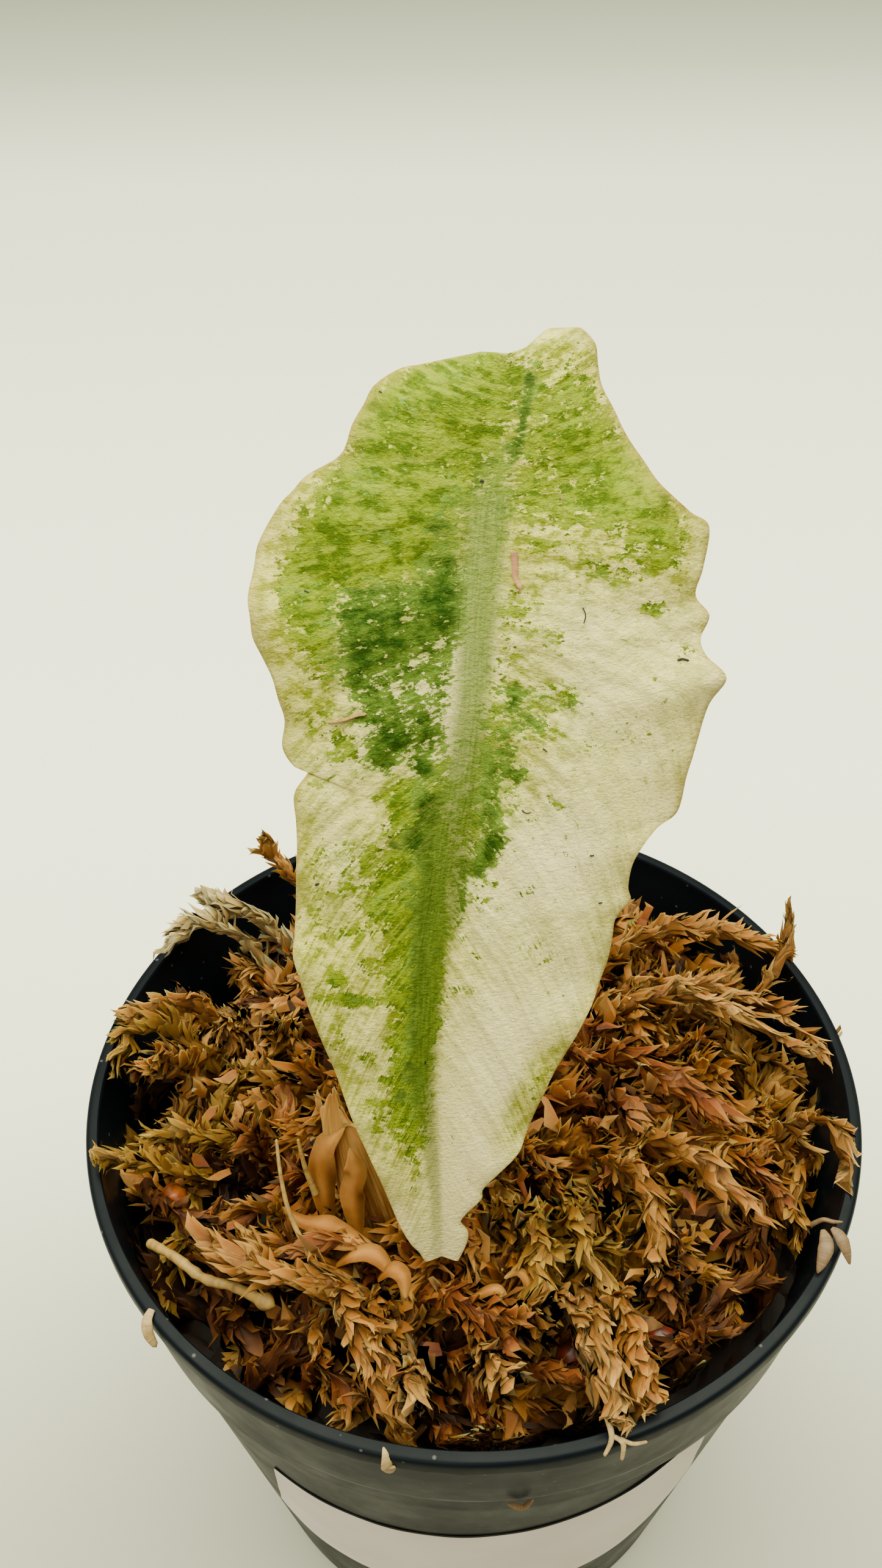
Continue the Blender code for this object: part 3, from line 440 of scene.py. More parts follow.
pot_points, pot_faces = spun(pot_profile, POT_STEPS, dict.fromkeys(LIP_RINGS, ragged))
print("pot profile points:", len(pot_profile))


# %% [markdown]
# Black polypropylene has an IOR near 1.49 and comes out of the mould with a satin skin. Handling leaves
# fine scuffs, about 4 mm long and 0.7 mm high, and a film of dust in patches of 5 to 10 mm. That grey film is
# partly real dust and partly painted sheen, which is why the collar looks dark grey and not black. Grains of
# grit 0.3 mm wide stick to it, and a pale line round the collar is a painted highlight.

# %% Mould it in black polypropylene
def polypropylene_look():
    look, shader = new_look("pot_moulded_black_polypropylene", 0.42, 1.49, Specular_IOR_Level=0.08)
    place = add(look, "TexCoord", out="Object")
    height = add(look, "SeparateXYZ", [place], "Z")

    # 1 on the outside of the wall and 0 on the inside
    from_axis = add(look, "VectorMath", [place, (1.0, 1.0, 0.0)], operation="MULTIPLY")
    facing = add(look, "NewGeometry", out="Normal")
    outward = add(look, "VectorMath", [from_axis, facing], "Value", operation="DOT_PRODUCT")
    outside = add(look, "MapRange", [outward, 0.0, 0.004])

    # Dust and painted sheen lie on the collar above the pale line, less under it, and are rubbed off the lip
    below_lip = add(look, "MapRange", [height, LIP_FOOT + 0.1 * MM, LIP_FOOT - 0.5 * MM])
    on_collar = add(look, "MapRange", [height, MOULDING_LINE - 0.3 * MM, MOULDING_LINE + 0.3 * MM, 0.35])
    patches = noise(look, place, 150.0, detail=5.0)
    smears = noise(look, place, 1.0, (90.0, 90.0, 420.0))
    dust_film_and_sheen = summed(
        look, (add(look, "MapRange", [patches, 0.0, 1.0, 0.03, 0.07]), 1.0),
        (add(look, "MapRange", [smears, 0.3, 1.0, 0.0, 0.06]), 1.0),
    )
    for limit in (on_collar, below_lip, outside):
        dust_film_and_sheen = add(look, "Math", [dust_film_and_sheen, limit], operation="MULTIPLY")
    grit = add(look, "TexVoronoi", {"Vector": place, "Scale": 520.0}, "Distance")
    grit = add(look, "MapRange", [grit, 0.05, 0.11, 0.3, 0.0])
    # The pale line round the collar is a painted highlight, where an edge would catch the light
    off_line = add(look, "Math", [height, MOULDING_LINE], operation="SUBTRACT")
    off_line = add(look, "Math", [off_line], operation="ABSOLUTE")
    painted_edge_highlight = add(look, "MapRange", [off_line, 0.05 * MM, 0.3 * MM, 0.55, 0.0])
    for limit in (add(look, "MapRange", [smears, 0.3, 0.8]), outside):
        painted_edge_highlight = add(look, "Math", [painted_edge_highlight, limit], operation="MULTIPLY")
    # The grey over the black is real dust and grit, partly painted sheen, and the painted highlight line
    dust_and_sheen = add(look, "Math", [dust_film_and_sheen, grit], operation="MAXIMUM")
    dust_and_sheen = add(look, "Math", [dust_and_sheen, painted_edge_highlight], operation="MAXIMUM")
    tone = layered(look, "#060a10", (dust_and_sheen, "#777774"))
    scuffs = noise(look, place, 1.0, (260.0, 260.0, 1500.0), 5.0, 0.7)
    satin = add(look, "MapRange", [patches, 0.0, 1.0, 0.34, 0.5])
    return cover(look, shader, tone, scuffs, 0.1, 0.04 * MM, Roughness=satin)


pot = piece("pot_shell", pot_points, pot_faces, polypropylene_look(), "pot_plastic", ["pot"], sharp=POT_SHARP)


# %% Cut the drain holes and the foot's notches
HOLES = 6
HOLE_PLACE = (15.5 * MM, 0.0, 2.95 * MM)
HOLE_RADIUS, HOLE_DEPTH = 2.4 * MM, 4.4 * MM
NOTCH_PLACE = (25.5 * MM, 0.0, 0.0)
NOTCH_SIZE = (7.0 * MM, 5.0 * MM, 2.6 * MM)


def cut_holes(body):
    """Round holes in the raised floor, and as many notches in the foot that let the water out."""
    drill = bmesh.new()
    for i in range(HOLES):
        turn = Matrix.Rotation(math.tau * (i + 0.5) / HOLES, 4, "Z")
        bmesh.ops.create_cone(
            drill, cap_ends=True, segments=32, radius1=HOLE_RADIUS, radius2=HOLE_RADIUS, depth=HOLE_DEPTH,
            matrix=turn @ Matrix.Translation(HOLE_PLACE),
        )
        notch = Matrix.Translation(NOTCH_PLACE) @ Matrix.Diagonal((*NOTCH_SIZE, 1.0))
        bmesh.ops.create_cube(drill, size=1.0, matrix=turn @ notch)
    mesh = bpy.data.meshes.new("pot_drill")
    drill.to_mesh(mesh)
    drill.free()
    cutter = bpy.data.objects.new("pot_drill", mesh)
    bpy.context.scene.collection.objects.link(cutter)
    step = body.modifiers.new("holes", "BOOLEAN")
    step.operation, step.solver, step.object = "DIFFERENCE", "EXACT", cutter
    graph = bpy.context.evaluated_depsgraph_get()
    cut = bpy.data.meshes.new_from_object(body.evaluated_get(graph))
    body.modifiers.clear()
    body.data = cut
    bpy.data.objects.remove(cutter)
    cut.shade_smooth()
    cut.set_sharp_from_angle(angle=math.radians(POT_SHARP))
    print("pot faces after cutting:", len(cut.polygons))


cut_holes(pot)

# %% [markdown]
# ## The paper label
# A blank sticker is wrapped round the front of the cone. It was put on by hand, so its ends ride up. The
# paper is about 0.13 mm thick: a thin bent sheet with rounded lower corners and a slightly lifted edge is
# all it needs. Label paper is matt, warm white, with a faint fibre pattern finer than a millimetre.

# %% Wrap the label round the cone
LABEL_TOP_DROP, LABEL_BOTTOM_DROP = 25.0 * MM, 49.5 * MM
LABEL_LEFT, LABEL_RIGHT = (-21.0 * MM, -23.2 * MM), (22.0 * MM, 23.5 * MM)
LABEL_CORNER = 6.0 * MM
LABEL_BOW, LABEL_TILT = 9.5, 0.17  # the rise of its ends, and of its right side
END_BOW = 60.0  # the further rise of its ends, past these two places along the arc
RIGHT_END, LEFT_END = 12.0 * MM, 17.0 * MM


def label_sheet(rows=44, columns=84):
    """Two skins of the bent sheet, 0.04 mm and 0.17 mm off the plastic, joined round the edge."""
    down = np.linspace(0.0, 1.0, rows)[:, None]
    across = np.linspace(0.0, 1.0, columns)[None, :]
    left = LABEL_LEFT[0] + (LABEL_LEFT[1] - LABEL_LEFT[0]) * down
    arc = left + (LABEL_RIGHT[0] + (LABEL_RIGHT[1] - LABEL_RIGHT[0]) * down - left) * across
    right_rise = END_BOW * np.clip(arc - RIGHT_END, 0.0, None) ** 2
    rise = LABEL_BOW * arc**2 + LABEL_TILT * arc + right_rise
    rise += END_BOW * np.clip(-arc - LEFT_END, 0.0, None) ** 2
    end = np.where(arc < 0.0, abs(LABEL_LEFT[1]), LABEL_RIGHT[1])
    past = np.clip(np.abs(arc) - (end - LABEL_CORNER), 0.0, LABEL_CORNER)
    rounding = LABEL_CORNER - np.sqrt(LABEL_CORNER**2 - past**2)
    top = np.maximum(LABEL_TOP_DROP - rise, RIM - COLLAR_FOOT + 0.8 * MM)
    bottom = LABEL_BOTTOM_DROP - 0.15 * rise - rounding - right_rise
    height = RIM - (top + (bottom - top) * down)
    edge = np.minimum(np.minimum(across, 1.0 - across) * 40.0, np.minimum(down, 1.0 - down) * 24.0)
    lift = 0.1 * MM * np.exp(-edge * 3.0) + 0.02 * MM * np.sin(arc * 900.0) * np.sin(height * 700.0)
    skins = []
    for off in (0.04 * MM, 0.17 * MM):
        radius = body_radius(height) + off + lift
        angle = arc / body_radius(height)
        skins.append(np.stack([radius * np.sin(angle), -radius * np.cos(angle), height], -1).reshape(-1, 3))
    faces = [grid_triangles(rows, columns), grid_triangles(rows, columns, rows * columns, flip=True)]
    faces.append(rim_triangles(rows, columns))
    # A dark line along the top edge, painted as the shadow under the paper's edge
    from_top = np.broadcast_to((RIM - top - height) / MM, height.shape)
    dirt = np.tile(np.exp(-((from_top / 0.16) ** 2)).ravel(), 2)
    return np.concatenate(skins), np.concatenate(faces), dirt


def rim_triangles(rows, columns):
    """The narrow faces that join two like grids of points all round."""
    loop = [(0, c) for c in range(columns)] + [(r, columns - 1) for r in range(1, rows)]
    loop += [(rows - 1, c) for c in range(columns - 2, -1, -1)] + [(r, 0) for r in range(rows - 2, 0, -1)]
    here = np.array([r * columns + c for r, c in loop])
    after = np.roll(here, -1)
    other = rows * columns
    return np.concatenate(
        [np.stack([here, after + other, after], -1), np.stack([here, here + other, after + other], -1)]
    )


def label_paper_look():
    """Warm white paper with faint stains a centimetre wide, and a painted shadow line along its top edge."""
    look, shader = new_look("label_uncoated_paper", 0.62, 1.5, Specular_IOR_Level=0.35)
    place = add(look, "TexCoord", out="Object")
    stains = add(look, "TexNoise", {"Vector": place, "Scale": 90.0, "Detail": 2.0})
    paper = add(look, "ValToRGB", [stains], stops=[(0.3, "#ddd0ca"), (0.7, "#d2c4bc")])
    dirt = add(look, "Attribute", out="Fac", attribute_name="dirt")
    tooth = add(look, "TexNoise", {"Vector": place, "Scale": 1400.0, "Detail": 3.0})
    # The near-black at the top edge is a painted shadow
    return cover(look, shader, layered(look, paper, (dirt, "#14120e")), tooth, 0.1, 0.05 * MM)


label_points, label_faces, label_dirt = label_sheet()
piece("paper_label", label_points, label_faces, label_paper_look(), "label_paper", ["label"], dirt=label_dirt)

# %% [markdown]
# ## The leaf's form
# The blade is one thin sheet. In its own plane a point has an x to the right and a way up from the tip,
# and the sheet leans back along an arc. The margins are the CAD source's outline, followed here by a
# smooth curve in much finer steps, so that nicks, the rolled-back edge and the waves stay round. Lateral
# veins are pressed into the front face, and the midrib stands out behind.

# %% The outline and the leaf's own measures
MIDRIB = [
    (-3.2, 0.8), (-3.3, 8.5), (-3.2, 23.0), (-2.3, 36.0), (-0.9, 46.4), (0.5, 58.7), (2.3, 69.8), (2.9, 76.8),
]
RIGHT_MARGIN = [
    (4.3, 77.2), (6.0, 78.6), (7.8, 78.7), (9.2, 77.5), (9.7, 74.5), (11.5, 71.0), (13.8, 67.5),
    (16.0, 65.5), (17.5, 64.4), (17.1, 61.5), (16.6, 59.5), (17.7, 58.0), (17.0, 56.3), (17.4, 55.0),
    (18.8, 53.4), (17.7, 51.5), (17.0, 49.0), (16.2, 46.0), (15.6, 43.2), (13.8, 41.8), (12.2, 39.5),
    (11.8, 37.3), (12.0, 36.0), (10.9, 34.6), (10.4, 31.0), (9.2, 27.3), (7.8, 24.0), (6.1, 20.5),
    (4.8, 17.0), (3.3, 12.5), (1.6, 10.2), (0.4, 8.6), (0.2, 7.4), (-1.5, 5.0), (-0.9, 3.5), (-1.1, 2.0),
    (-1.8, 0.0),
]
LEFT_MARGIN = [
    (1.0, 77.0), (-1.8, 76.5), (-5.0, 75.9), (-6.8, 74.8), (-8.4, 72.1), (-9.3, 70.0), (-11.8, 68.6),
    (-14.0, 66.4), (-15.6, 63.9), (-16.4, 60.0), (-16.2, 57.0), (-14.9, 54.0), (-14.2, 50.8),
    (-14.5, 48.8), (-13.6, 47.3), (-12.5, 46.9), (-13.6, 45.2), (-13.6, 41.0), (-14.1, 35.0),
    (-14.3, 31.8), (-13.4, 27.5), (-11.5, 20.9), (-10.0, 15.4), (-8.3, 10.0), (-6.8, 4.6), (-5.9, 2.3),
    (-5.2, 1.2), (-4.7, 0.0),
]
MARGIN_STEPS = 46  # as many steps down each margin as the CAD blade has
BLADE_TOP = 76.8


def spread(points, count):
    """The outline with its longest stretches halved until it has the count of points."""
    points = [np.array(point) for point in points]
    while len(points) < count:
        lengths = [np.hypot(*(after - here)) for here, after in zip(points, points[1:])]
        longest = int(np.argmax(lengths))
        points.insert(longest + 1, (points[longest] + points[longest + 1]) / 2)
    return np.array(points)


def walked_shares(points):
    lengths = np.hypot(*np.diff(points, axis=0).T)
    return np.r_[0.0, np.cumsum(lengths)] / lengths.sum()


def midrib_x(along):
    """The midrib's x at distances up from the tip, in millimetres."""
    knots = np.array(MIDRIB)
    part = np.interp(along, knots[:, 1], np.linspace(0.0, 1.0, len(knots)))
    return curve(np.c_[knots, np.zeros(len(knots))], part)[:, 0]


print("margin points:", len(RIGHT_MARGIN), len(LEFT_MARGIN))


# %% Lay out the blade's grid of points
def leaf_spine(along):
    """Points of the middle sheet at x = 0: an arc that leans back, for heights in millimetres."""
    end = LEAN_AT_TIP + LEAN_GAIN * along * MM
    back = (math.cos(LEAN_AT_TIP) - np.cos(end)) / LEAN_GAIN
    rise = (np.sin(end) - math.sin(LEAN_AT_TIP)) / LEAN_GAIN
    return np.array(LEAF_TIP) + np.stack([0.0 * back, back, rise], -1)


def curl_way(along):
    """The way the surface bulges and curls: steep at the tip and flatter at the top."""
    slope = np.radians(60.0 + (26.0 - 60.0) * along / BLADE_TOP)
    return np.stack([0.0 * slope, -np.cos(slope), np.sin(slope)], -1)


def blade_plan(rows, columns):
    """For each grid point its x and height in mm, share across to the margin, and walk down the margin."""
    right = spread(RIGHT_MARGIN, MARGIN_STEPS + 1)
    left = spread(LEFT_MARGIN, MARGIN_STEPS + 1)
    steps = np.linspace(0.0, 1.0, rows)
    knots = np.linspace(0.0, 1.0, MARGIN_STEPS + 1)
    plans = {}
    for side, margin in ((1, right), (-1, left)):
        edge = curve(np.c_[margin, np.zeros(len(margin))], steps)[:, :2]
        plans[side] = (edge, np.interp(steps, knots, walked_shares(margin)))
    mean = (plans[1][1] + plans[-1][1]) / 2
    along = BLADE_TOP + (MIDRIB[0][1] - BLADE_TOP) * mean
    middle = np.stack([midrib_x(along), along], -1)
    across = np.linspace(-1.0, 1.0, 2 * columns + 1)
    share = np.abs(across)[None, :, None]
    edge = np.where(across[None, :, None] > 0, plans[1][0][:, None], plans[-1][0][:, None])
    walk = np.where(across[None, :] > 0, plans[1][1][:, None], plans[-1][1][:, None]) * 100.0
    plane = middle[:, None] + (edge - middle[:, None]) * share
    return plane, share[..., 0] * np.ones(plane.shape[:2]), walk, middle, np.sign(across)[None, :]


BLADE_ROWS, BLADE_HALF_COLUMNS = 290, 50
plane, across, walk, middle, side_sign = blade_plan(BLADE_ROWS, BLADE_HALF_COLUMNS)
leaf_x, leaf_up = plane[..., 0], plane[..., 1]
from_midrib = np.abs(leaf_x - middle[:, None, 0])
print("blade grid:", plane.shape[:2])

# %% [markdown]
# The lateral veins leave the midrib almost level near the top of this hanging leaf and steeper towards
# its tip. A second pair of measures follows them: how far out along a vein a point is, and which vein it
# is on. The patches of green run along these, and so do the pleats between the veins.

# %% Follow the veins
vein_slope = np.interp(leaf_up, [0.0, 18.0, 38.0, 52.0, 66.0, 80.0], [2.6, 1.9, 1.0, 0.35, 0.0, -0.55])
vein_line = leaf_up + from_midrib * vein_slope  # the same all along one lateral vein
MAIN_VEIN_SPACING = 6.5


def vein_pleats():
    """The front face between the veins: broad soft pleats, and small ripples a millimetre or so apart."""
    reach = np.clip(from_midrib / 3.0, 0.0, 1.0) * np.clip((1.0 - across) * 4.0, 0.0, 1.0)
    broad = 0.13 * np.cos(math.tau * vein_line / MAIN_VEIN_SPACING + 0.6 * side_sign)
    small = 0.035 * np.sin(vein_line * 3.1 + 1.4 * np.sin(from_midrib * 0.9))
    small += 0.03 * np.sin(vein_line * 5.3 + 1.1 * np.sin(from_midrib * 1.7 + 2.0))
    dimples = 0.03 * np.sin(leaf_x * 4.1 + 1.3 * np.sin(leaf_up * 2.3)) * np.sin(leaf_up * 3.7 + leaf_x)
    return (broad + small + dimples) * reach


def blade_rise():
    """How far the sheet stands forward of its arc: the CAD blade's bulge, curl and waves, then fine form."""
    bulge = 0.9 * (1.0 - np.exp(-((from_midrib / 5.0) ** 2)))
    curl = 2.4 * across**3 * np.minimum(1.0, 1.6 * leaf_up / BLADE_TOP)
    phase = np.where(side_sign > 0, 0.4, 2.1)
    wave = np.sin(math.tau * walk / 17.0 + phase) + 0.6 * np.sin(math.tau * walk / 8.3 - phase)
    fade = np.clip(leaf_up / 12.0, 0.0, 1.0)
    groove = 0.16 * np.exp(-(((from_midrib - 1.25) / 0.4) ** 2)) * np.clip(leaf_up / 40.0, 0.0, 1.0)
    return (bulge - curl + 0.55 * wave * across**4 - groove + vein_pleats()) * fade


rise = blade_rise()
print("rise in mm from", round(float(rise.min()), 2), "to", round(float(rise.max()), 2))


# %% Give it two faces and a rolled edge
BLADE_HALF, MARGIN_THINNER = 0.27, 0.13  # mm: half its thickness, and how much less at the margin
TOP_GAP = 0.3 * MM


def blade_points():
    """The front and back faces: about half a millimetre apart, thinner at the margin."""
    spot = leaf_spine(leaf_up) + curl_way(leaf_up) * (rise * MM)[..., None]
    spot[..., 0] += leaf_x * MM
    spot[..., 2] = np.minimum(spot[..., 2], cad_box[1][2] - TOP_GAP)
    lean = LEAN_AT_TIP + LEAN_GAIN * 40.0 * MM
    out = np.array([0.0, -math.cos(lean), math.sin(lean)])
    half = (BLADE_HALF - MARGIN_THINNER * across**6) * MM
    ridge = 1.1 * np.sqrt(np.clip(leaf_up, 0.0, None) / 77.0) * np.exp(-((from_midrib / 1.7) ** 2))
    laterals = 0.16 * np.exp(-((np.sin(math.pi * vein_line / MAIN_VEIN_SPACING) / 0.16) ** 2))
    ridge = ridge + laterals * np.clip((1.0 - across) * 3.0, 0.0, 1.0)
    return spot + out * half[..., None], spot - out * (half + ridge * MM)[..., None]


front, back = blade_points()
columns = front.shape[1]
blade_faces = np.concatenate([
    grid_triangles(BLADE_ROWS, columns, flip=True),
    grid_triangles(BLADE_ROWS, columns, BLADE_ROWS * columns),
    rim_triangles(BLADE_ROWS, columns)[:, ::-1],
])


def on_blade(x, along, lift=0.0):
    """The point on the blade's front face nearest to a place in its plane, and the way it faces there."""
    row, column = np.unravel_index(np.argmin((leaf_x - x) ** 2 + (leaf_up - along) ** 2), leaf_x.shape)
    row = min(max(row, 2), BLADE_ROWS - 3)
    column = min(max(column, 2), columns - 3)
    down = front[row + 2, column] - front[row - 2, column]
    aside = front[row, column + 2] - front[row, column - 2]
    facing = unit(np.cross(down, aside))
    return Vector(front[row, column] + facing * lift * MM), Vector(facing)


print("blade faces:", len(blade_faces), "front at the middle faces", on_blade(0.0, 40.0)[1])

# %% [markdown]
# ## The leaf's markings
# Variegation is a patchwork of cells with and without chlorophyll. Where a patch is dense it reads as
# solid green, and at its edge it breaks into small islands bounded by the veinlets. So each patch is
# placed only as a soft cloud of density, and the shader breaks the clouds up with cells stretched
# along the veins. There are three layers: a pale wash deep in the leaf, lime green, and dark green.

# %% Where the pale wash lies
# Each cloud is (x, height, half width, half height, tilt in degrees, density), lengths in millimetres.
WASH = [
    (-2, 72.5, 9, 6, 0, 0.75), (-9, 63, 6, 6.5, 0, 0.8), (9, 68.5, 7, 5.5, -35, 0.75),
    (7.3, 76, 2.8, 3, 0, 0.8), (-14.4, 57, 1.6, 9, 0, 0.5), (-13, 42, 1.3, 8, 0, 0.6),
    (-12.2, 30, 2, 9, 8, 0.6), (15.4, 62, 2, 4.5, 12, 0.6), (15.6, 50, 1.8, 6.5, 0, 0.4),
    (3.4, 59, 3.2, 8, 0, 0.6), (-7.6, 44.6, 4, 4, 0, 0.5), (-12, 51, 2.8, 3.4, 0, 0.65),
    (-8, 35, 5, 9, 0, 0.6), (5.2, 20.5, 1.5, 5.5, -26, 0.85), (3.6, 16, 1.4, 4, -20, 0.6),
    (-5.4, 9, 1.6, 9, 8, 0.5), (-1.2, 31, 2.2, 6, 0, 0.45), (4.8, 32, 3.2, 4, 0, 0.4),
    (10.5, 47, 4.4, 3.8, 20, 0.36), (2.6, 46, 3.2, 5, -10, 0.5), (-10.6, 21, 1.8, 8, 16, 0.6),
    (9.6, 33, 1.5, 7, 0, 0.45), (12.5, 55.5, 3.4, 2.4, 0, 0.35), (-7.6, 15.5, 2.4, 7, 8, 0.6),
    (6, 51, 2.6, 4, 0, 0.4), (10, 62, 6, 3.4, 0, 0.6), (11.8, 40, 1.2, 4, 0, 0.4),
    (-7, 67, 8.5, 9, 0, 0.85), (6, 69, 8, 6.5, 0, 0.8), (0, 74.5, 8, 3, 0, 0.8),
    (-12.6, 57, 3, 7, 0, 0.7), (14, 66, 4, 4, 0, 0.7), (-4.5, 38, 3, 10, 0, 0.7),
    (-5.5, 24, 2.6, 9, 6, 0.7), (-9.5, 32, 4, 6, 0, 0.55), (2.5, 50, 2.4, 6, 0, 0.6),
]

# %% Where the lime green lies
LIME = [
    (-3.6, 73.6, 4.4, 1.9, 18, 0.85), (-1.8, 75.2, 2.4, 1.1, 14, 0.85), (-7, 72.2, 1.5, 1.6, 0, 0.75),
    (1.6, 75.2, 2.6, 1.7, 0, 0.7), (-0.6, 71.6, 3.6, 2.2, 0, 0.62), (-6, 70.2, 3.2, 0.9, 10, 0.4),
    (-7.2, 67.4, 2.6, 2.2, 0, 0.98), (-3.6, 67, 3.2, 2, 0, 0.8), (-7.6, 64.2, 3.8, 2, 0, 0.85),
    (-3.4, 63, 3, 2.2, 0, 0.72), (-10.8, 63.6, 1.7, 2, 0, 0.7), (-9.4, 61.6, 3.2, 1.1, 0, 0.85),
    (-12.8, 60.2, 1.2, 1.6, 0, 0.85), (-11.4, 57.8, 1.6, 2.2, 0, 0.85), (-10.2, 54.8, 1.6, 1.4, 0, 0.55),
    (-11.6, 51.4, 2, 1.6, 0, 0.42), (9.6, 69, 3.4, 2.3, -30, 0.62), (12.2, 67.6, 2.6, 2, -42, 0.8),
    (7, 71.4, 2.8, 2.4, -40, 0.6), (7.2, 74.6, 2.6, 2.2, 10, 0.55), (14.3, 64, 1.4, 2.4, 12, 0.6),
    (8.6, 66, 5, 1.1, -6, 0.6), (3.6, 66.6, 1.8, 2, 0, 0.35), (5.4, 63.4, 3, 0.8, -6, 0.42),
    (9.4, 61.4, 2.4, 0.7, -12, 0.6), (13, 62.2, 2, 1, 0, 0.5), (3.2, 58.5, 1.2, 0.8, 0, 0.72),
    (13.3, 58.6, 1, 0.6, 0, 0.85), (5.8, 56.8, 2, 0.8, -10, 0.4), (5, 60.2, 3, 0.7, 0, 0.3),
    (2.6, 55, 1.4, 2.6, 0, 0.3), (7, 52.4, 1.1, 0.7, -30, 0.75), (4.8, 51.4, 2, 2, -20, 0.5),
    (1.8, 49, 1.4, 4, 0, 0.55), (5.4, 49.3, 1.2, 0.6, 0, 0.45), (1, 44, 1.4, 4, -4, 0.6),
    (-9.4, 48.8, 1.6, 1.4, 0, 0.62), (-12.2, 46, 1.2, 0.9, 0, 0.4), (-5.4, 45.2, 1.8, 1, 0, 0.62),
    (-2.8, 47.4, 1, 3, 0, 0.5), (-5, 42.6, 1.6, 2.4, 0, 0.6), (-8.4, 40.6, 1.5, 1, 0, 0.5),
    (-11.8, 40.2, 1, 1.6, 0, 0.4), (-6.7, 38.6, 1.7, 1.9, 0, 0.68), (-9.6, 37.4, 1.6, 1.6, 0, 0.45),
    (-4.4, 37, 1.4, 4.6, 0, 0.75), (-7.4, 35.8, 1.2, 1.4, 0, 0.62), (-12.4, 34.6, 1.2, 2.6, 0, 0.4),
    (-9.6, 33.8, 1.2, 0.8, 0, 0.6), (-6, 32.4, 1.3, 3, 0, 0.7), (-10.9, 29.7, 0.9, 0.7, 10, 0.9),
    (-9.6, 27.9, 1.7, 0.6, -6, 0.95), (-12.5, 28, 0.5, 1, 10, 0.6), (-6.2, 28.4, 1, 1.8, 10, 0.6),
    (-8.6, 31, 1.4, 1, 0, 0.35), (-4, 30, 1, 4, 0, 0.7), (-8.8, 22.6, 0.7, 1, 0, 0.6),
    (-11, 24, 0.9, 1.6, 14, 0.35), (-6.6, 24.6, 0.9, 1.2, 0, 0.55), (-7.2, 20.4, 0.9, 0.6, 0, 0.62),
    (-5.6, 21.4, 1.1, 2.4, 0, 0.88), (-6.2, 17.6, 1.5, 2, 0, 0.7), (-5.6, 14.6, 1.2, 2.2, 0, 0.6),
    (-8.2, 16.6, 0.8, 1.6, 0, 0.45), (-4.6, 25.5, 1, 3, 0, 0.75), (-5.4, 11, 0.8, 2, 6, 0.35),
    (-0.1, 31.8, 0.5, 0.35, -35, 0.8), (1.8, 35.8, 0.4, 0.3, 0, 0.8), (-0.6, 28.6, 0.9, 0.5, 0, 0.5),
    (0.6, 37.6, 1.2, 2, 0, 0.35), (4.8, 31.4, 1.4, 1.3, 0, 0.3), (3.6, 36.8, 1, 0.6, 0, 0.35),
    (5.6, 44.4, 1.2, 0.4, -25, 0.55), (12, 49.8, 1.6, 0.6, 0, 0.3), (9.4, 48.4, 2.8, 0.8, 10, 0.22),
    (15.6, 55.8, 0.9, 0.5, 0, 0.45), (13, 53.6, 0.6, 0.3, 0, 0.45), (6.6, 40, 2.4, 0.6, -35, 0.2),
    (5.3, 20.4, 0.7, 2.2, -26, 0.45), (4.3, 43, 1.2, 0.5, -25, 0.3), (-3.8, 42, 1.8, 5, 0, 0.7),
    (-3.9, 34, 1.7, 5, 0, 0.75), (-4.7, 27, 1.4, 5, 0, 0.7), (-5.3, 20, 1.3, 4, 0, 0.6),
    (-6, 67.5, 5, 3.4, 0, 0.6), (-2, 73.8, 4.6, 2, 6, 0.6), (7.6, 68.4, 4.4, 3.6, 0, 0.55),
    (12.6, 65.8, 2.4, 3, -20, 0.6), (-8.6, 62.6, 4, 2, 0, 0.6), (0.2, 69.6, 1.6, 2.6, 0, 0.55),
    (-11, 59.4, 1.6, 2.6, 0, 0.6), (0, 44, 1.8, 6, -6, 0.45),
]

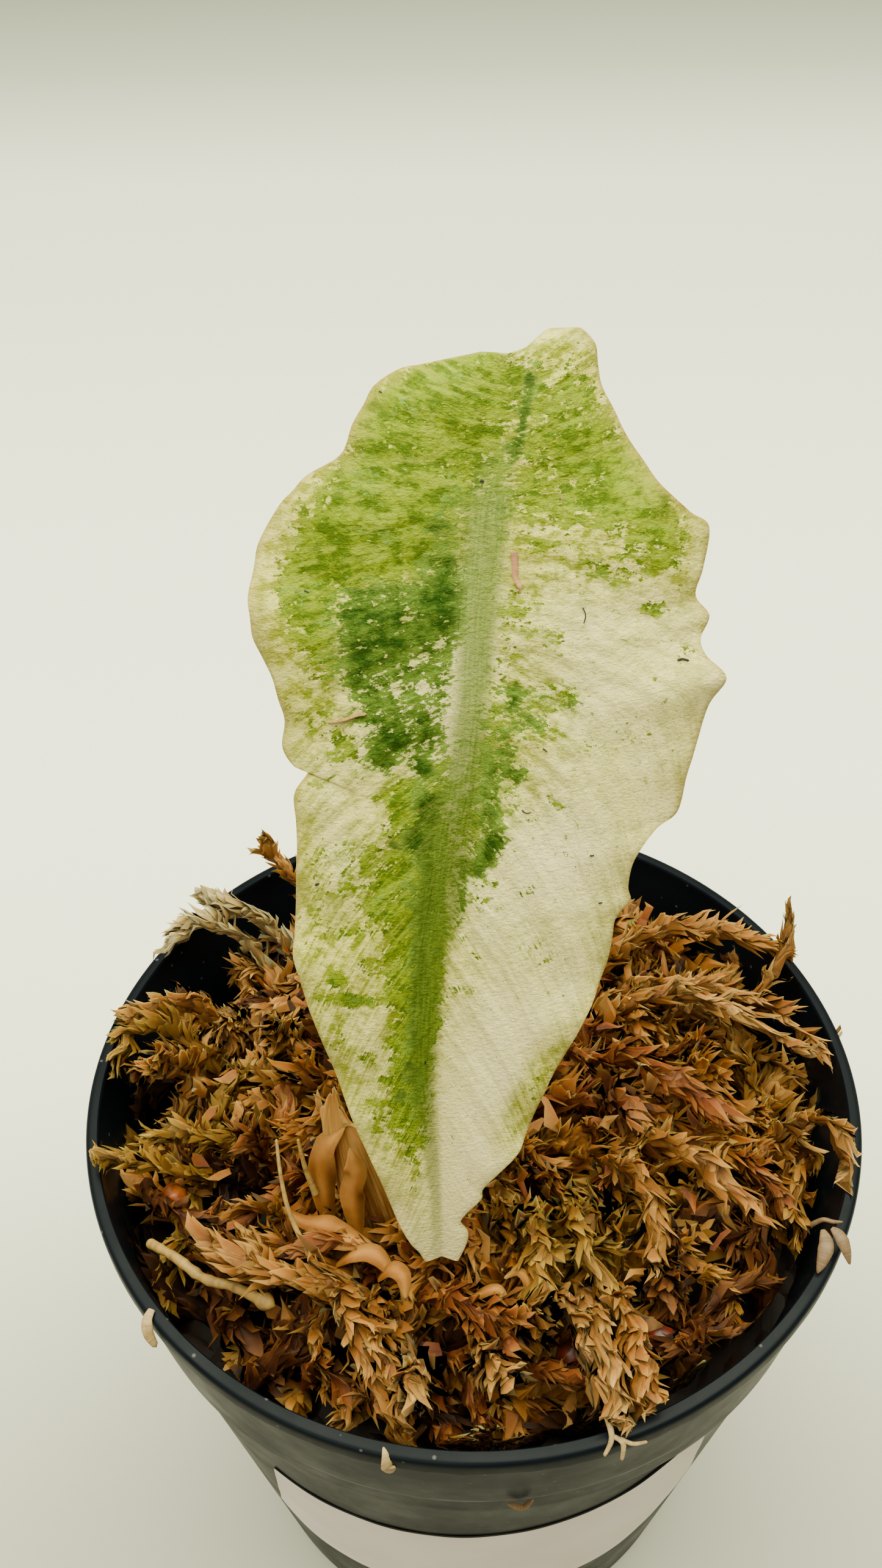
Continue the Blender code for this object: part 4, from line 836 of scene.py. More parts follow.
# %% Where the dark green lies
DARK = [
    (-8.2, 59, 2.2, 1.7, 0, 0.86), (-4.6, 59.2, 2.6, 1.9, 0, 0.78), (-2, 58.6, 1.4, 2.6, 0, 0.9),
    (-7.8, 56.4, 2.6, 1.8, 0, 0.85), (-4.4, 56.6, 2.2, 1.5, 0, 0.7), (-8.6, 54, 1.7, 1.3, 0, 0.75),
    (-5.6, 54.2, 2, 1.4, 0, 0.6), (-2.6, 53.6, 1.2, 1.8, 0, 0.6), (-7.4, 51.8, 1.5, 1.5, 0, 0.75),
    (-4.2, 51.4, 1.8, 1.6, 0, 0.72), (-6.4, 49.4, 1.6, 1.4, 0, 0.92), (-3.6, 49.2, 1.6, 1.2, 0, 0.8),
    (-6.8, 47.6, 1, 0.9, -12, 0.96), (-4, 47.2, 0.9, 0.9, 0, 0.96), (-2.4, 64.8, 1, 1.2, 0, 0.6),
    (-2.6, 62.2, 1.8, 0.7, 0, 0.5), (-1.2, 67, 0.9, 1.6, 0, 0.5), (-4.8, 73.2, 1.8, 0.9, 20, 0.32),
    (-1.8, 75.2, 1.2, 0.7, 10, 0.35), (3.9, 72.4, 2.6, 0.45, 80, 0.9), (3.1, 70, 0.7, 0.9, 0, 0.8),
    (4.4, 74.9, 0.5, 1, 0, 0.7), (-7, 68.6, 1.4, 0.9, 0, 0.3), (-12.8, 59.8, 0.8, 1.2, 0, 0.4),
    (-3.6, 44, 1, 1.1, 20, 0.9), (-4.6, 41.4, 1, 1.3, 15, 0.95), (-6.2, 41, 0.5, 0.35, -20, 0.9),
    (-3.6, 39.8, 0.9, 1.6, 0, 0.6), (3, 52.2, 1, 1.3, 0, 0.8), (5.2, 52.2, 0.9, 0.6, -30, 0.55),
    (7.1, 51.8, 0.6, 0.5, 0, 0.6), (4.4, 50.4, 0.9, 0.8, 0, 0.55), (2.4, 48.6, 1.3, 1.8, 0, 0.6),
    (3.1, 46.4, 0.8, 0.8, -20, 0.7), (1.2, 46, 0.9, 1.6, 0, 0.5), (0.9, 43.4, 0.8, 1.7, 0, 0.72),
    (1.4, 41.2, 0.9, 0.8, 15, 1), (0.9, 40, 0.9, 0.7, 20, 1), (0.2, 38.8, 0.6, 0.7, 20, 1),
    (-0.9, 38.4, 0.5, 2, 0, 0.75), (-1.3, 35.6, 0.6, 1.8, 0, 0.6), (-3.9, 35.6, 1.1, 2.6, 0, 0.72),
    (-4.5, 31.4, 0.8, 2.4, 0, 0.8), (-5.2, 37.8, 0.7, 1.4, 0, 0.5), (-4.8, 27.8, 0.8, 1.8, 0, 0.7),
    (-5.1, 24.6, 0.7, 1.4, 0, 0.85), (-5.3, 21, 0.9, 1.8, 0, 0.8), (-6.3, 18.8, 0.6, 0.7, 0, 0.75),
    (-5, 17.4, 0.6, 1.6, 0, 0.6), (-7.6, 36.4, 0.7, 0.8, 0, 0.4), (-9.4, 27.9, 1.2, 0.4, -6, 0.55),
    (-10.9, 29.6, 0.5, 0.4, 0, 0.4), (12, 67.6, 1.6, 1.2, -50, 0.3), (13, 69, 1.8, 0.4, -52, 0.6),
    (13.4, 58.6, 0.6, 0.35, 0, 0.5), (8.6, 66, 3, 0.4, -6, 0.28), (9.2, 61.3, 1.4, 0.3, -15, 0.5),
    (-3.4, 44.6, 1.2, 2.6, 0, 0.55), (-3, 40, 1.2, 3, 0, 0.5), (1.6, 45, 1, 3.4, 0, 0.5),
    (-8, 67.4, 1.6, 1.2, 0, 0.35), (-6.4, 64, 2.2, 1, 0, 0.35), (-1.6, 61, 1.4, 3, 0, 0.6),
]
print("clouds:", len(WASH), "wash,", len(LIME), "lime,", len(DARK), "dark")


# %% Turn the clouds into densities at the blade's points
def density(clouds):
    """Soft clouds laid over each other, none making another thinner."""
    clear = np.ones_like(leaf_x)
    for x, along, half_width, half_height, tilt, dense in clouds:
        cos, sin = math.cos(math.radians(tilt)), math.sin(math.radians(tilt))
        aside, upward = leaf_x - x, leaf_up - along
        reach = ((aside * cos + upward * sin) / half_width) ** 2
        reach += ((upward * cos - aside * sin) / half_height) ** 2
        clear *= 1.0 - np.clip(dense, 0.0, 0.999) * np.exp(-0.7 * reach**1.2)
    return 1.0 - clear


wash, lime, dark = density(WASH), density(LIME), density(DARK)
# The midrib's green band wanders a little to the left of the rib lower down: height, centre, half width
RIB_BAND = [
    (8, -3.6, 0.5), (16, -4.1, 0.9), (20, -4.4, 1.1), (24, -4.2, 1.2), (28, -3.9, 1.3), (32, -3.5, 1.5),
    (35, -3, 1.9), (40, -2, 1.9), (46, -0.9, 1.7), (52, -0.1, 1.4), (58, 0.4, 1.6), (66, 1.3, 1.8),
    (70, 2.1, 1.2),
]
band = np.array(RIB_BAND)
beside_band = leaf_x - np.interp(leaf_up, band[:, 0], band[:, 1])
band_strength = np.interp(leaf_up, [1.0, 9.0, 20.0, 66.0, 71.0], [0.3, 0.6, 0.95, 1.0, 0.0])
midrib_band = band_strength * np.exp(-((beside_band / np.interp(leaf_up, band[:, 0], band[:, 2])) ** 4))
lime *= 1.0 - 0.1 * np.clip(beside_band / 4.0, 0.0, 1.0)
for name, values in (("wash", wash), ("lime", lime), ("dark", dark), ("midrib", midrib_band)):
    print(name, "covers", round(float((values > 0.5).mean()), 3), "of the blade")

# %% [markdown]
# A living leaf is not a plain diffuser. Light enters through a waxy cuticle with an IOR near 1.42, is
# scattered between the cells and leaves again a little way off, so the pale parts glow softly. Seen from
# above and in front the leaf hardly shines, so its specular level is low. Cells of about 0.4 x 0.25 mm
# gather in swarms of a millimetre or so, and specks 0.7 mm long and 0.3 mm wide run along the veins.

# %% Break clouds into islands
def islands(look, cloud, grain, soft):
    """Where a cloud's density beats the grain of the cells: 1 inside an island, 0 outside."""
    found = add(look, "Math", [cloud, grain], operation="ADD")
    return add(look, "MapRange", [found, 1.0 - soft, 1.0 + soft], interpolation_type="SMOOTHSTEP")


def cell_grain(look, veins, plane):
    """The grain that breaks a cloud into islands: swarms, single cells and specks, spread evenly."""
    bend = add(look, "TexNoise", {"Vector": plane, "Scale": 2.6, "Detail": 3.0}, "Color")
    drawn = add(look, "Mapping", {"Vector": plane, "Scale": (2.7, 3.9, 1.0)})
    bent = add(look, "VectorMath", [drawn, bend], operation="ADD")
    cells = add(look, "TexVoronoi", {"Vector": bent, "Scale": 1.0}, "Color")
    swarm = noise(look, plane, 0.95, (0.8, 1.0, 1.0), 7.0, 0.74)
    speck = noise(look, veins, 3.0, (0.45, 1.2, 1.0), rough=0.65)
    grain = summed(look, (swarm, 0.5), (add(look, "SeparateXYZ", [cells], "X"), 0.2), (speck, 0.3))
    return add(look, "MapRange", [grain, 0.2, 0.8]), speck, bent


def threads(look, veins):
    """Thin lines that run with the lateral veins: the level lines of a noise drawn out along them."""
    drawn = add(look, "Mapping", {"Vector": veins, "Scale": (0.07, 0.55, 1.0)})
    waves = add(look, "TexNoise", {"Vector": drawn, "Scale": 1.0, "Detail": 3.0, "Roughness": 0.55})
    waves = add(look, "Math", [waves, 7.0], operation="MULTIPLY")
    waves = add(look, "Math", [waves], operation="FRACT")
    apart = add(look, "Math", [waves, 0.5], operation="SUBTRACT")
    apart = add(look, "Math", [apart], operation="ABSOLUTE")
    line = add(look, "MapRange", [apart, 0.02, 0.1, 1.0, 0.0])
    return add(look, "Math", [line, noise(look, veins, 0.35, detail=2.0)], operation="MULTIPLY")


def midrib_colour(look, rib_way, height):
    """Fibrous strands along the rib: grey-green at the top, dark olive lower down."""
    strands = noise(look, rib_way, 1.0, (5.5, 0.3, 1.0))
    low = layered(look, "#384a0c", (strands, "#56671a"))
    high = layered(look, "#556a2c", (strands, "#738437"))
    return layered(look, low, (add(look, "MapRange", [height, 42.0, 54.0]), high))


# %% Grow the leaf's surface
def leaf_look():
    look, shader = new_look(
        "leaf_variegated_damp_cuticle", 0.4, 1.42, Specular_IOR_Level=0.08,
        Subsurface_Weight=0.1, Subsurface_Scale=0.3 * MM, Subsurface_Radius=(1.0, 1.0, 0.35),
    )
    pale, lime, dark, rib, across, behind = (
        add(look, "Attribute", out="Fac", attribute_name=name)
        for name in ("wash", "lime", "dark", "midrib", "across", "behind")
    )
    plane, veins, rib_way = (
        add(look, "Attribute", out="Vector", attribute_name=name) for name in ("plane", "veins", "rib")
    )
    grain, speck, bent = cell_grain(look, veins, plane)

    # Ground: cream tissue with yellower drifts, then a yellow-green haze in soft fibres
    fibres = noise(look, veins, 1.1, (0.3, 1.5, 1.0), 5.0, 0.65)
    mottled = noise(look, plane, 0.8, detail=7.0, rough=0.7)
    mist = summed(look, (fibres, 0.4), (mottled, 0.6))
    strong = add(look, "MapRange", [summed(look, (fibres, 0.5), (mottled, 0.5)), 0.36, 0.64])
    haze = add(look, "MapRange", [mist, 0.0, 1.0, 0.4, 1.5])
    haze = add(look, "Math", [haze, pale], operation="MULTIPLY")
    tone = layered(
        look, "#e4d693",
        (noise(look, plane, 0.14, detail=3.0), "#ecdda6"),
        (add(look, "MapRange", [fibres, 0.5, 1.0, 0.0, 0.3]), "#c9bf6e"),
        (haze, layered(look, "#bab63c", (strong, "#868b18"))),
        (add(look, "MapRange", [speck, 0.62, 1.0, 0.0, 0.3]), "#a8a048"),
    )

    # Chlorophyll: a blurred lime layer, crisp lime islands in it, then dark islands over a blurred shade
    blurred = islands(look, lime, summed(look, (mist, 0.6), (grain, 0.4)), 0.3)
    depth = add(look, "MapRange", [summed(look, (dark, 1.0), (mist, 1.0)), 0.7, 1.5])
    tone = layered(
        look, tone,
        (blurred, layered(look, "#8d9912", (strong, "#506104"))),
        (islands(look, lime, grain, 0.09), layered(look, "#465a04", (strong, "#76860c"))),
        (add(look, "MapRange", [dark, 0.35, 0.9, 0.0, 0.5]), "#74852f"),
        (islands(look, dark, grain, 0.08), layered(look, "#6c842b", (depth, "#213d05"))),
    )

    # A pale bloom and thin pale lines over the green, then the midrib
    bloom = add(look, "MapRange", [fibres, 0.56, 0.72, 0.0, 0.1])
    bloom = add(look, "Math", [bloom, add(look, "MapRange", [lime, 0.2, 0.8])], operation="MULTIPLY")
    veinlets = threads(look, veins)
    lines = add(look, "MapRange", [lime, 0.1, 0.8, 0.04, 0.12])
    lines = add(look, "Math", [veinlets, lines], operation="MULTIPLY")
    strands = midrib_colour(look, rib_way, add(look, "SeparateXYZ", [plane], "Y"))
    rib = add(look, "Math", [rib, 0.88], operation="MULTIPLY")
    tone = layered(look, tone, (bloom, "#c1c15a"), (lines, "#c5c653"), (rib, strands))

    # Margins turn thin and olive-yellow with lengthwise fibres; the underside is paler
    edge = add(look, "MapRange", [across, 0.84, 1.0, 0.0, 0.8])
    edge = add(look, "Math", [edge, mist], operation="MULTIPLY")
    behind = add(look, "Math", [behind, 0.35], operation="MULTIPLY")
    tone = layered(
        look, tone,
        (edge, "#98903a"),
        (add(look, "MapRange", [across, 0.965, 1.0, 0.0, 0.55]), "#a08746"),
        (behind, "#b3b86a"),
    )
    gloss = add(look, "MapRange", [noise(look, plane, 1.1), 0.0, 1.0, 0.26, 0.46])
    ripples = noise(look, bent, 1.0, detail=5.0)
    veinlets = add(look, "Math", [veinlets, 0.2], operation="MULTIPLY")
    relief = add(look, "Math", [ripples, veinlets], operation="SUBTRACT")
    return cover(look, shader, tone, relief, 0.8, 0.1 * MM, Roughness=gloss)


def both(values):
    """A front-face measure repeated for the back face, one row for each point."""
    flat = values.reshape(-1) if values.ndim == 2 else values.reshape(-1, values.shape[-1])
    return np.concatenate([flat, flat])


zero = np.zeros_like(leaf_x)
piece(
    "variegated_leaf", np.concatenate([front.reshape(-1, 3), back.reshape(-1, 3)]), blade_faces,
    leaf_look(), "leaf", ["leaf_blade"], sharp=70.0,
    plane=both(np.stack([leaf_x, leaf_up, zero], -1)),
    veins=both(np.stack([from_midrib * side_sign, vein_line, zero], -1)),
    rib=both(np.stack([beside_band, leaf_up, zero], -1)),
    wash=both(wash),
    lime=both(lime),
    dark=both(dark),
    midrib=both(midrib_band),
    across=both(across),
    behind=np.r_[np.zeros(leaf_x.size), np.ones(leaf_x.size)],
)

# %% [markdown]
# ## Stem and sheath
# The petiole rises behind the blade and meets the midrib near the top, and a papery sheath, the dried
# cataphyll, half wraps its foot. Both follow the CAD solids' routes. The stem is a round tapering tube. The
# sheath is a thin curved sheet with ribs and a torn upper edge.

# %% Make the petiole
JOIN_UP = 69.8  # where the petiole meets the midrib, in mm up from the tip
join_lean = LEAN_AT_TIP + LEAN_GAIN * JOIN_UP * MM
behind = np.array([0.0, math.cos(join_lean), -math.sin(join_lean)])
petiole_top = leaf_spine(np.array(JOIN_UP)) + np.array([2.3 * MM, 0.0, 0.0]) + behind * 1.15 * MM
petiole_bend = petiole_top + behind * 1.9 * MM - np.array([0.3, 0.0, 3.2]) * MM
petiole_route = [
    at(-8.0, -10.0, -4.4), at(-7.9, -9.8, 3.0), at(-7.4, -8.6, 12.0), at(-6.3, -6.0, 23.0),
    at(-4.7, -2.4, 35.0), at(-2.4, 1.8, 47.0), at(0.2, 5.6, 57.0), petiole_bend, petiole_top,
]


def petiole_look():
    """A smooth fleshy stalk, green with streaks 0.4 mm wide and 6 mm long, a little waxy."""
    look, shader = new_look(
        "petiole_waxy_skin", 0.4, 1.4, Subsurface_Weight=0.12, Subsurface_Scale=0.8 * MM, Coat_Weight=0.1,
    )
    place = add(look, "TexCoord", out="Object")
    drawn = add(look, "Mapping", {"Vector": place, "Scale": (2600.0, 2600.0, 160.0)})
    streaks = add(look, "TexNoise", {"Vector": drawn, "Scale": 1.0, "Detail": 4.0})
    skin = add(
        look, "ValToRGB", [add(look, "Attribute", out="Fac", attribute_name="share")],
        stops=[(0.0, "#c9b98e"), (0.22, "#b9bd7c"), (0.6, "#a3b45e"), (1.0, "#a9bb7c")],
    )
    tone = layered(look, skin, (add(look, "MapRange", [streaks, 0.4, 0.7, 0.0, 0.5]), "#74903c"))
    return cover(look, shader, tone, streaks, 0.25, 0.1 * MM)


STEM_FOOT_RADIUS, STEM_TAPER = 2.1, 1.0  # mm
stem_radii = [(STEM_FOOT_RADIUS - STEM_TAPER * (step / 20) ** 0.7) * MM for step in range(21)]
points, faces, shares = tube(petiole_route, stem_radii, sides=28, rings=110)
piece("green_petiole", points, faces, petiole_look(), "petiole", ["petiole"], share=shares)


# %% Make the papery sheath
SHEATH_FOOT_RADIUS, SHEATH_TAPER = 4.2, 1.9  # mm
SHEATH_THICKNESS = 0.3 * MM


def sheath_sheet(rows=50, columns=48):
    """The sheath's two faces, with ribs down its length and a frayed slanting top."""
    foot, top = np.array(at(-8.8, -10.6, -2.6)), np.array(at(-11.6, -9.0, 13.5))
    share = np.linspace(0.0, 1.0, rows)[:, None]
    spin = np.linspace(-1.0, 1.0, columns)[None, :]
    wrap = math.radians(86.0) * (1.0 - 0.8 * share**2.2)
    angle = math.radians(-125.0) + wrap * spin
    teeth = 0.05 * np.abs(np.sin(spin * 9.0)) + 0.03 * np.abs(np.sin(spin * 23.0))
    fray = 1.0 - (0.22 * spin**2 + teeth) * share**6
    centre = foot + (top - foot) * (share * fray)[..., None]
    ribs = 0.05 * np.sin(spin * 13.0 + 2.0 * np.sin(share * 5.0)) + 0.02 * np.sin(spin * 31.0 + share * 6.0)
    folds = 0.5 * np.sin(spin * 3.4 + share * 4.0) * (0.35 + 0.65 * share)
    radius = ((SHEATH_FOOT_RADIUS - SHEATH_TAPER * share**1.6) + ribs + folds) * MM
    way = np.stack([np.cos(angle), np.sin(angle), 0.0 * angle], -1)
    skins = [centre + way * radius[..., None], centre + way * (radius - SHEATH_THICKNESS)[..., None]]
    points = np.concatenate([skin.reshape(-1, 3) for skin in skins])
    faces = [grid_triangles(rows, columns), grid_triangles(rows, columns, rows * columns, flip=True)]
    faces.append(rim_triangles(rows, columns))
    shares, spins = (np.tile(one.ravel(), 2) for one in np.broadcast_arrays(share, spin))
    return points, np.concatenate(faces), shares, spins


def sheath_look():
    """Dried leaf tissue: matt, fibrous along its length, and letting some light through."""
    look, shader = new_look(
        "sheath_dried_cataphyll", 0.6, 1.4, Specular_IOR_Level=0.25,
        Subsurface_Weight=0.5, Subsurface_Scale=1.2 * MM,
    )
    spin, share = (add(look, "Attribute", out="Fac", attribute_name=name) for name in ("spin", "share"))
    way = add(look, "CombineXYZ", [spin, share])
    drawn = add(look, "Mapping", {"Vector": way, "Scale": (14.0, 1.6, 1.0)})
    fibres = add(look, "TexNoise", {"Vector": drawn, "Scale": 1.6, "Detail": 6.0, "Roughness": 0.65})
    tone = layered(
        look, "#6a3f14",
        (add(look, "MapRange", [share, 0.0, 0.9]), "#a87a38"),
        (add(look, "MapRange", [fibres, 0.42, 0.66, 0.0, 0.75]), "#bd9454"),
    )
    return cover(look, shader, tone, fibres, 0.5, 0.2 * MM)


points, faces, shares, spins = sheath_sheet()
piece("papery_sheath", points, faces, sheath_look(), "sheath", ["stem_sheath"], share=shares, spin=spins)

# %% [markdown]
# ## How the moss is built
# Dried sphagnum is a tangle of soft shoots. Each shoot is a thin stem clad in small boat-shaped leaves
# that overlap like feathers and close up at its tip. One leaf is a closed sliver of 16 triangles: three
# three-cornered rings, whose third corner is the keel, and a point. A shoot sets such leaves round a
# smooth route, each a golden angle on from the last, which is how the plant does it. Dry moss is never
# straight, so at last every point is shifted by a smooth bend, which twists leaves and shoots together.

# %% One moss leaf, many times over
LEAFLET_SHARES = np.array([0.0, 0.34, 0.7, 1.0])
LEAFLET_BREADTHS = np.array([0.62, 1.0, 0.64, 0.0])
RINGS = len(LEAFLET_SHARES) - 1
LEAFLET_POINTS = 3 * RINGS + 1


def leaflet_faces():
    """The triangles of one leaflet: its foot, the sides between its rings, and its point."""
    faces = [(0, 1, 2)]
    for ring in range(RINGS - 1):
        for i in range(3):
            a, b = ring * 3 + i, ring * 3 + (i + 1) % 3
            faces += [(a, b + 3, b), (a, a + 3, b + 3)]
    last = 3 * (RINGS - 1)
    faces += [(last + i, last + 3, last + (i + 1) % 3) for i in range(3)]
    return np.array(faces)


LEAFLET_FACES = leaflet_faces()
shades = {}


def gather(shade, points, faces, **measures):
    """Adds points, faces and their measures to all that will be one shade's mesh."""
    empty = {"points": [], "faces": [], "count": 0, **{name: [] for name in measures}}
    heap = shades.setdefault(shade, empty)
    heap["points"].append(points)
    heap["faces"].append(faces + heap["count"])
    heap["count"] += len(points)
    for name, values in measures.items():
        heap[name].append(values)


def tousled(points):
    """Points shifted by a smooth bend of a few tenths of a millimetre, over 1 to 4 mm."""
    x, y, z = (points[..., i] / MM for i in range(3))
    shift = [
        0.34 * np.sin(1.7 * y + 1.3 * z + 0.9 * np.sin(1.1 * x)) + 0.05 * np.sin(4.9 * z + 3.7 * y),
        0.34 * np.sin(1.9 * z + 1.1 * x + 0.8 * np.sin(1.3 * y)) + 0.05 * np.sin(5.1 * x + 4.3 * z),
        0.34 * np.sin(1.5 * x + 2.1 * y + 0.9 * np.sin(0.9 * z)) + 0.05 * np.sin(4.4 * y + 5.3 * x),
    ]
    return points + np.stack(shift, -1) * MM


def leaflets(shade, base, ahead, out, length, width, lean, bend, cup, twist, tone):
    """Leaflets from arrays, one row each: where they start, which way, how long, and how they curl."""
    side = np.cross(ahead, out)
    spot, rings, ways = base.copy(), [], []
    for step, share in enumerate(LEAFLET_SHARES):
        roll = (twist * share)[:, None]
        out_now = np.cos(roll) * out + np.sin(roll) * side
        side_now = np.cos(roll) * side - np.sin(roll) * out
        angle = (lean + bend * share)[:, None]
        onward = np.cos(angle) * ahead + np.sin(angle) * out_now
        inward = np.sin(angle) * ahead - np.cos(angle) * out_now
        if step:
            spot = spot + onward * (length * (share - LEAFLET_SHARES[step - 1]))[:, None]
        ways.append(np.repeat((-inward)[:, None], 1 if step == RINGS else 3, axis=1))
        if step == RINGS:
            rings.append(spot[:, None])
            break
        reach = (width * LEAFLET_BREADTHS[step] / 2)[:, None]
        lift = inward * reach * cup[:, None]
        keel = spot - inward * (0.05 * MM + 0.2 * reach)
        rings.append(np.stack([spot + side_now * reach + lift, spot - side_now * reach + lift, keel], 1))
    points = tousled(np.concatenate(rings, 1))
    kept = clear_of_leaf(points)
    points, tone, outward = points[kept], tone[kept], np.concatenate(ways, 1)[kept]
    count = len(points)
    faces = (LEAFLET_FACES[None] + LEAFLET_POINTS * np.arange(count)[:, None, None]).reshape(-1, 3)
    reach = np.tile(np.r_[np.repeat(LEAFLET_SHARES[:RINGS], 3), 1.0], count)
    edge = np.tile(np.r_[np.tile([1.0, 1.0, 0.0], RINGS), 0.6], count)
    gather(
        shade, points.reshape(-1, 3), faces,
        tone=np.repeat(tone, LEAFLET_POINTS), reach=reach, edge=edge, outward=outward.reshape(-1, 3),
    )


# %% Keep moss off the leaf and the stem
LEAF_ROOM, STEM_ROOM = 0.75 * MM, 2.4 * MM
LEAF_FOOT_Y, LEAF_FOOT_REACH = -17.0 * MM, 18.0 * MM
LEAF_FOOT_LOW, LEAF_FOOT_HIGH = RIM - 6.0 * MM, RIM + 14.0 * MM
blade_cloud = front.reshape(-1, 3)
blade_cloud = blade_cloud[blade_cloud[:, 2] < LEAF_FOOT_HIGH]
stem_cloud = curve(petiole_route, np.linspace(0.0, 0.35, 30))


def nearest(points, cloud):
    """The distance from each point to the nearest point of a cloud, worked out in batches."""
    found = np.empty(len(points))
    for start in range(0, len(points), 400):
        batch = points[start : start + 400]
        found[start : start + 400] = np.sqrt(((batch[:, None] - cloud[None]) ** 2).sum(-1)).min(1)
    return found


def clear_of_leaf(leaflet_points):
    """Which leaflets stay clear of the blade's tip and of the stem's foot."""
    spots = leaflet_points[:, [0, LEAFLET_POINTS // 2, LEAFLET_POINTS - 1]].reshape(-1, 3)
    bad = np.zeros(len(spots), bool)
    by_foot = np.hypot(spots[:, 0], spots[:, 1] - LEAF_FOOT_Y) < LEAF_FOOT_REACH
    close = by_foot & (spots[:, 2] > LEAF_FOOT_LOW)
    if close.any():
        near = spots[close]
        bad[close] = (nearest(near, blade_cloud[::7]) < LEAF_ROOM) | (nearest(near, stem_cloud) < STEM_ROOM)
    return ~bad.reshape(-1, 3).any(1)


# %% [markdown]
# The photograph shows four habits of shoot. Feathers have leaves that stand off a little. Ropes have
# leaves pressed to the stem. Strings are the thin hanging branches that wick water. Heads are the young
# tufts at the top of a plant, with leaves that spread and curl back in. A fifth, with broader and fewer
# leaves, is for the buried layer that only shows between the others.

# %% The habits of a shoot
# Girth, leaf length and width, and spacing in mm; lean at the tip and at the foot, and curl, in degrees
HABITS = {
    "feather": {"girth": 1.6, "leaf": (2.9, 0.86), "lean": (10, 19), "curl": -4, "pitch": 0.095},
    "rope": {"girth": 1.5, "leaf": (2.9, 0.82), "lean": (6, 11), "curl": -2, "pitch": 0.095},
    "string": {"girth": 0.7, "leaf": (2.4, 0.6), "lean": (4, 9), "curl": 2, "pitch": 0.11},
    "buried": {"girth": 2.0, "leaf": (3.0, 1.15), "lean": (9, 18), "curl": -6, "pitch": 0.135},
    "head": {"girth": 1.6, "leaf": (2.7, 1.0), "lean": (14, 50), "curl": -20, "pitch": 0.055},
}
GOLDEN_ANGLE = math.pi * (3.0 - math.sqrt(5.0))
CORE_SHARE = 0.46  # the core's radius for a girth of 1


def shoot(draw, shade, route, habit, tone=0.5, size=1.0):
    """A leafy shoot along a route, in one of the habits, whose every leaf varies a little."""
    shape = HABITS[habit]
    length = sum((Vector(after) - Vector(here)).length for here, after in zip(route, route[1:]))
    count = max(int(length / (shape["pitch"] * MM)), 8)
    shares = (np.arange(count) + 0.5) / count
    spots = curve(route, shares)
    ahead, side, up = frames_along(spots)
    vary = np.random.default_rng(draw.randrange(1 << 30)).normal(0.0, 1.0, (9, count))
    turn = GOLDEN_ANGLE * np.arange(count) + 0.6 * vary[7] + draw.uniform(0.0, math.tau)
    out = np.cos(turn)[:, None] * side + np.sin(turn)[:, None] * up
    tip = np.clip((shares - 0.75) / 0.25, 0.0, 1.0)
    at_tip, at_foot = shape["lean"]
    lean = at_tip + (at_foot - at_tip) * (1.0 - 0.25 * shares) * (1.0 - 0.6 * tip) + 5.0 * vary[0]
    lean = np.where(vary[6] > 1.7, lean + 20.0, lean)
    core = shape["girth"] * size * CORE_SHARE * MM * (1.0 - 0.4 * shares**2) * (1.0 - 0.6 * tip)
    long, wide = shape["leaf"]
    leaflets(
        shade,
        spots + out * (core * 0.8)[:, None] + ahead * (0.35 * MM * vary[8])[:, None],
        ahead,
        out,
        size * long * MM * (0.9 - 0.25 * tip) * np.clip(1.0 + 0.3 * vary[1], 0.4, 1.7),
        size * wide * MM * np.clip(0.95 + 0.28 * vary[2], 0.4, 1.7),
        np.radians(lean),
        np.radians(shape["curl"] + 13.0 * vary[3]),
        np.clip(0.7 + 0.3 * vary[4], 0.1, 1.3),
        0.5 * vary[5],
        np.clip(tone + 0.16 * vary[6] + 0.16 * (shares - 0.5), 0.0, 1.0),
    )
    points, faces, along = tube(route, [core[0], core[count // 2], core[-1] * 0.5], sides=6, rings=9)
    same = np.ones(len(points))
    gather(
        shade, tousled(points), faces,
        tone=same * tone, reach=same * 0.25, edge=0.0 * same, outward=unit(points - curve(route, along)),
    )


# %% [markdown]
# The mound under the shoots is the CAD bed's own formula: highest round the stem, lower at the wall, with
# hollows. The scattered shoots come in four layers: buried ones, a main field, a looser field of ropes and
# strings on it, and some young heads on top. Over them lie single flakes, and then the shoots that stand
# out in the photograph are placed one by one.

# %% Where the moss stands
MOUND_TOP, MOUND_EDGE = -1.2, -8.5  # mm above the rim
MOUND_RADIUS = 34.0 * MM


def moss_above(x, y):
    """How high the bed is at a place, counted from the rim."""
    share = np.minimum(np.hypot(x, y) / MOUND_RADIUS, 1.0)
    mound = (MOUND_TOP + (MOUND_EDGE - MOUND_TOP) * share**2.4) * MM
    tufts = np.sin(x * 1130.0 + 2.0 * np.sin(y * 540.0)) + np.sin(y * 1270.0 + 2.0 * np.sin(x * 610.0))
    return mound + 0.77 * MM * tufts
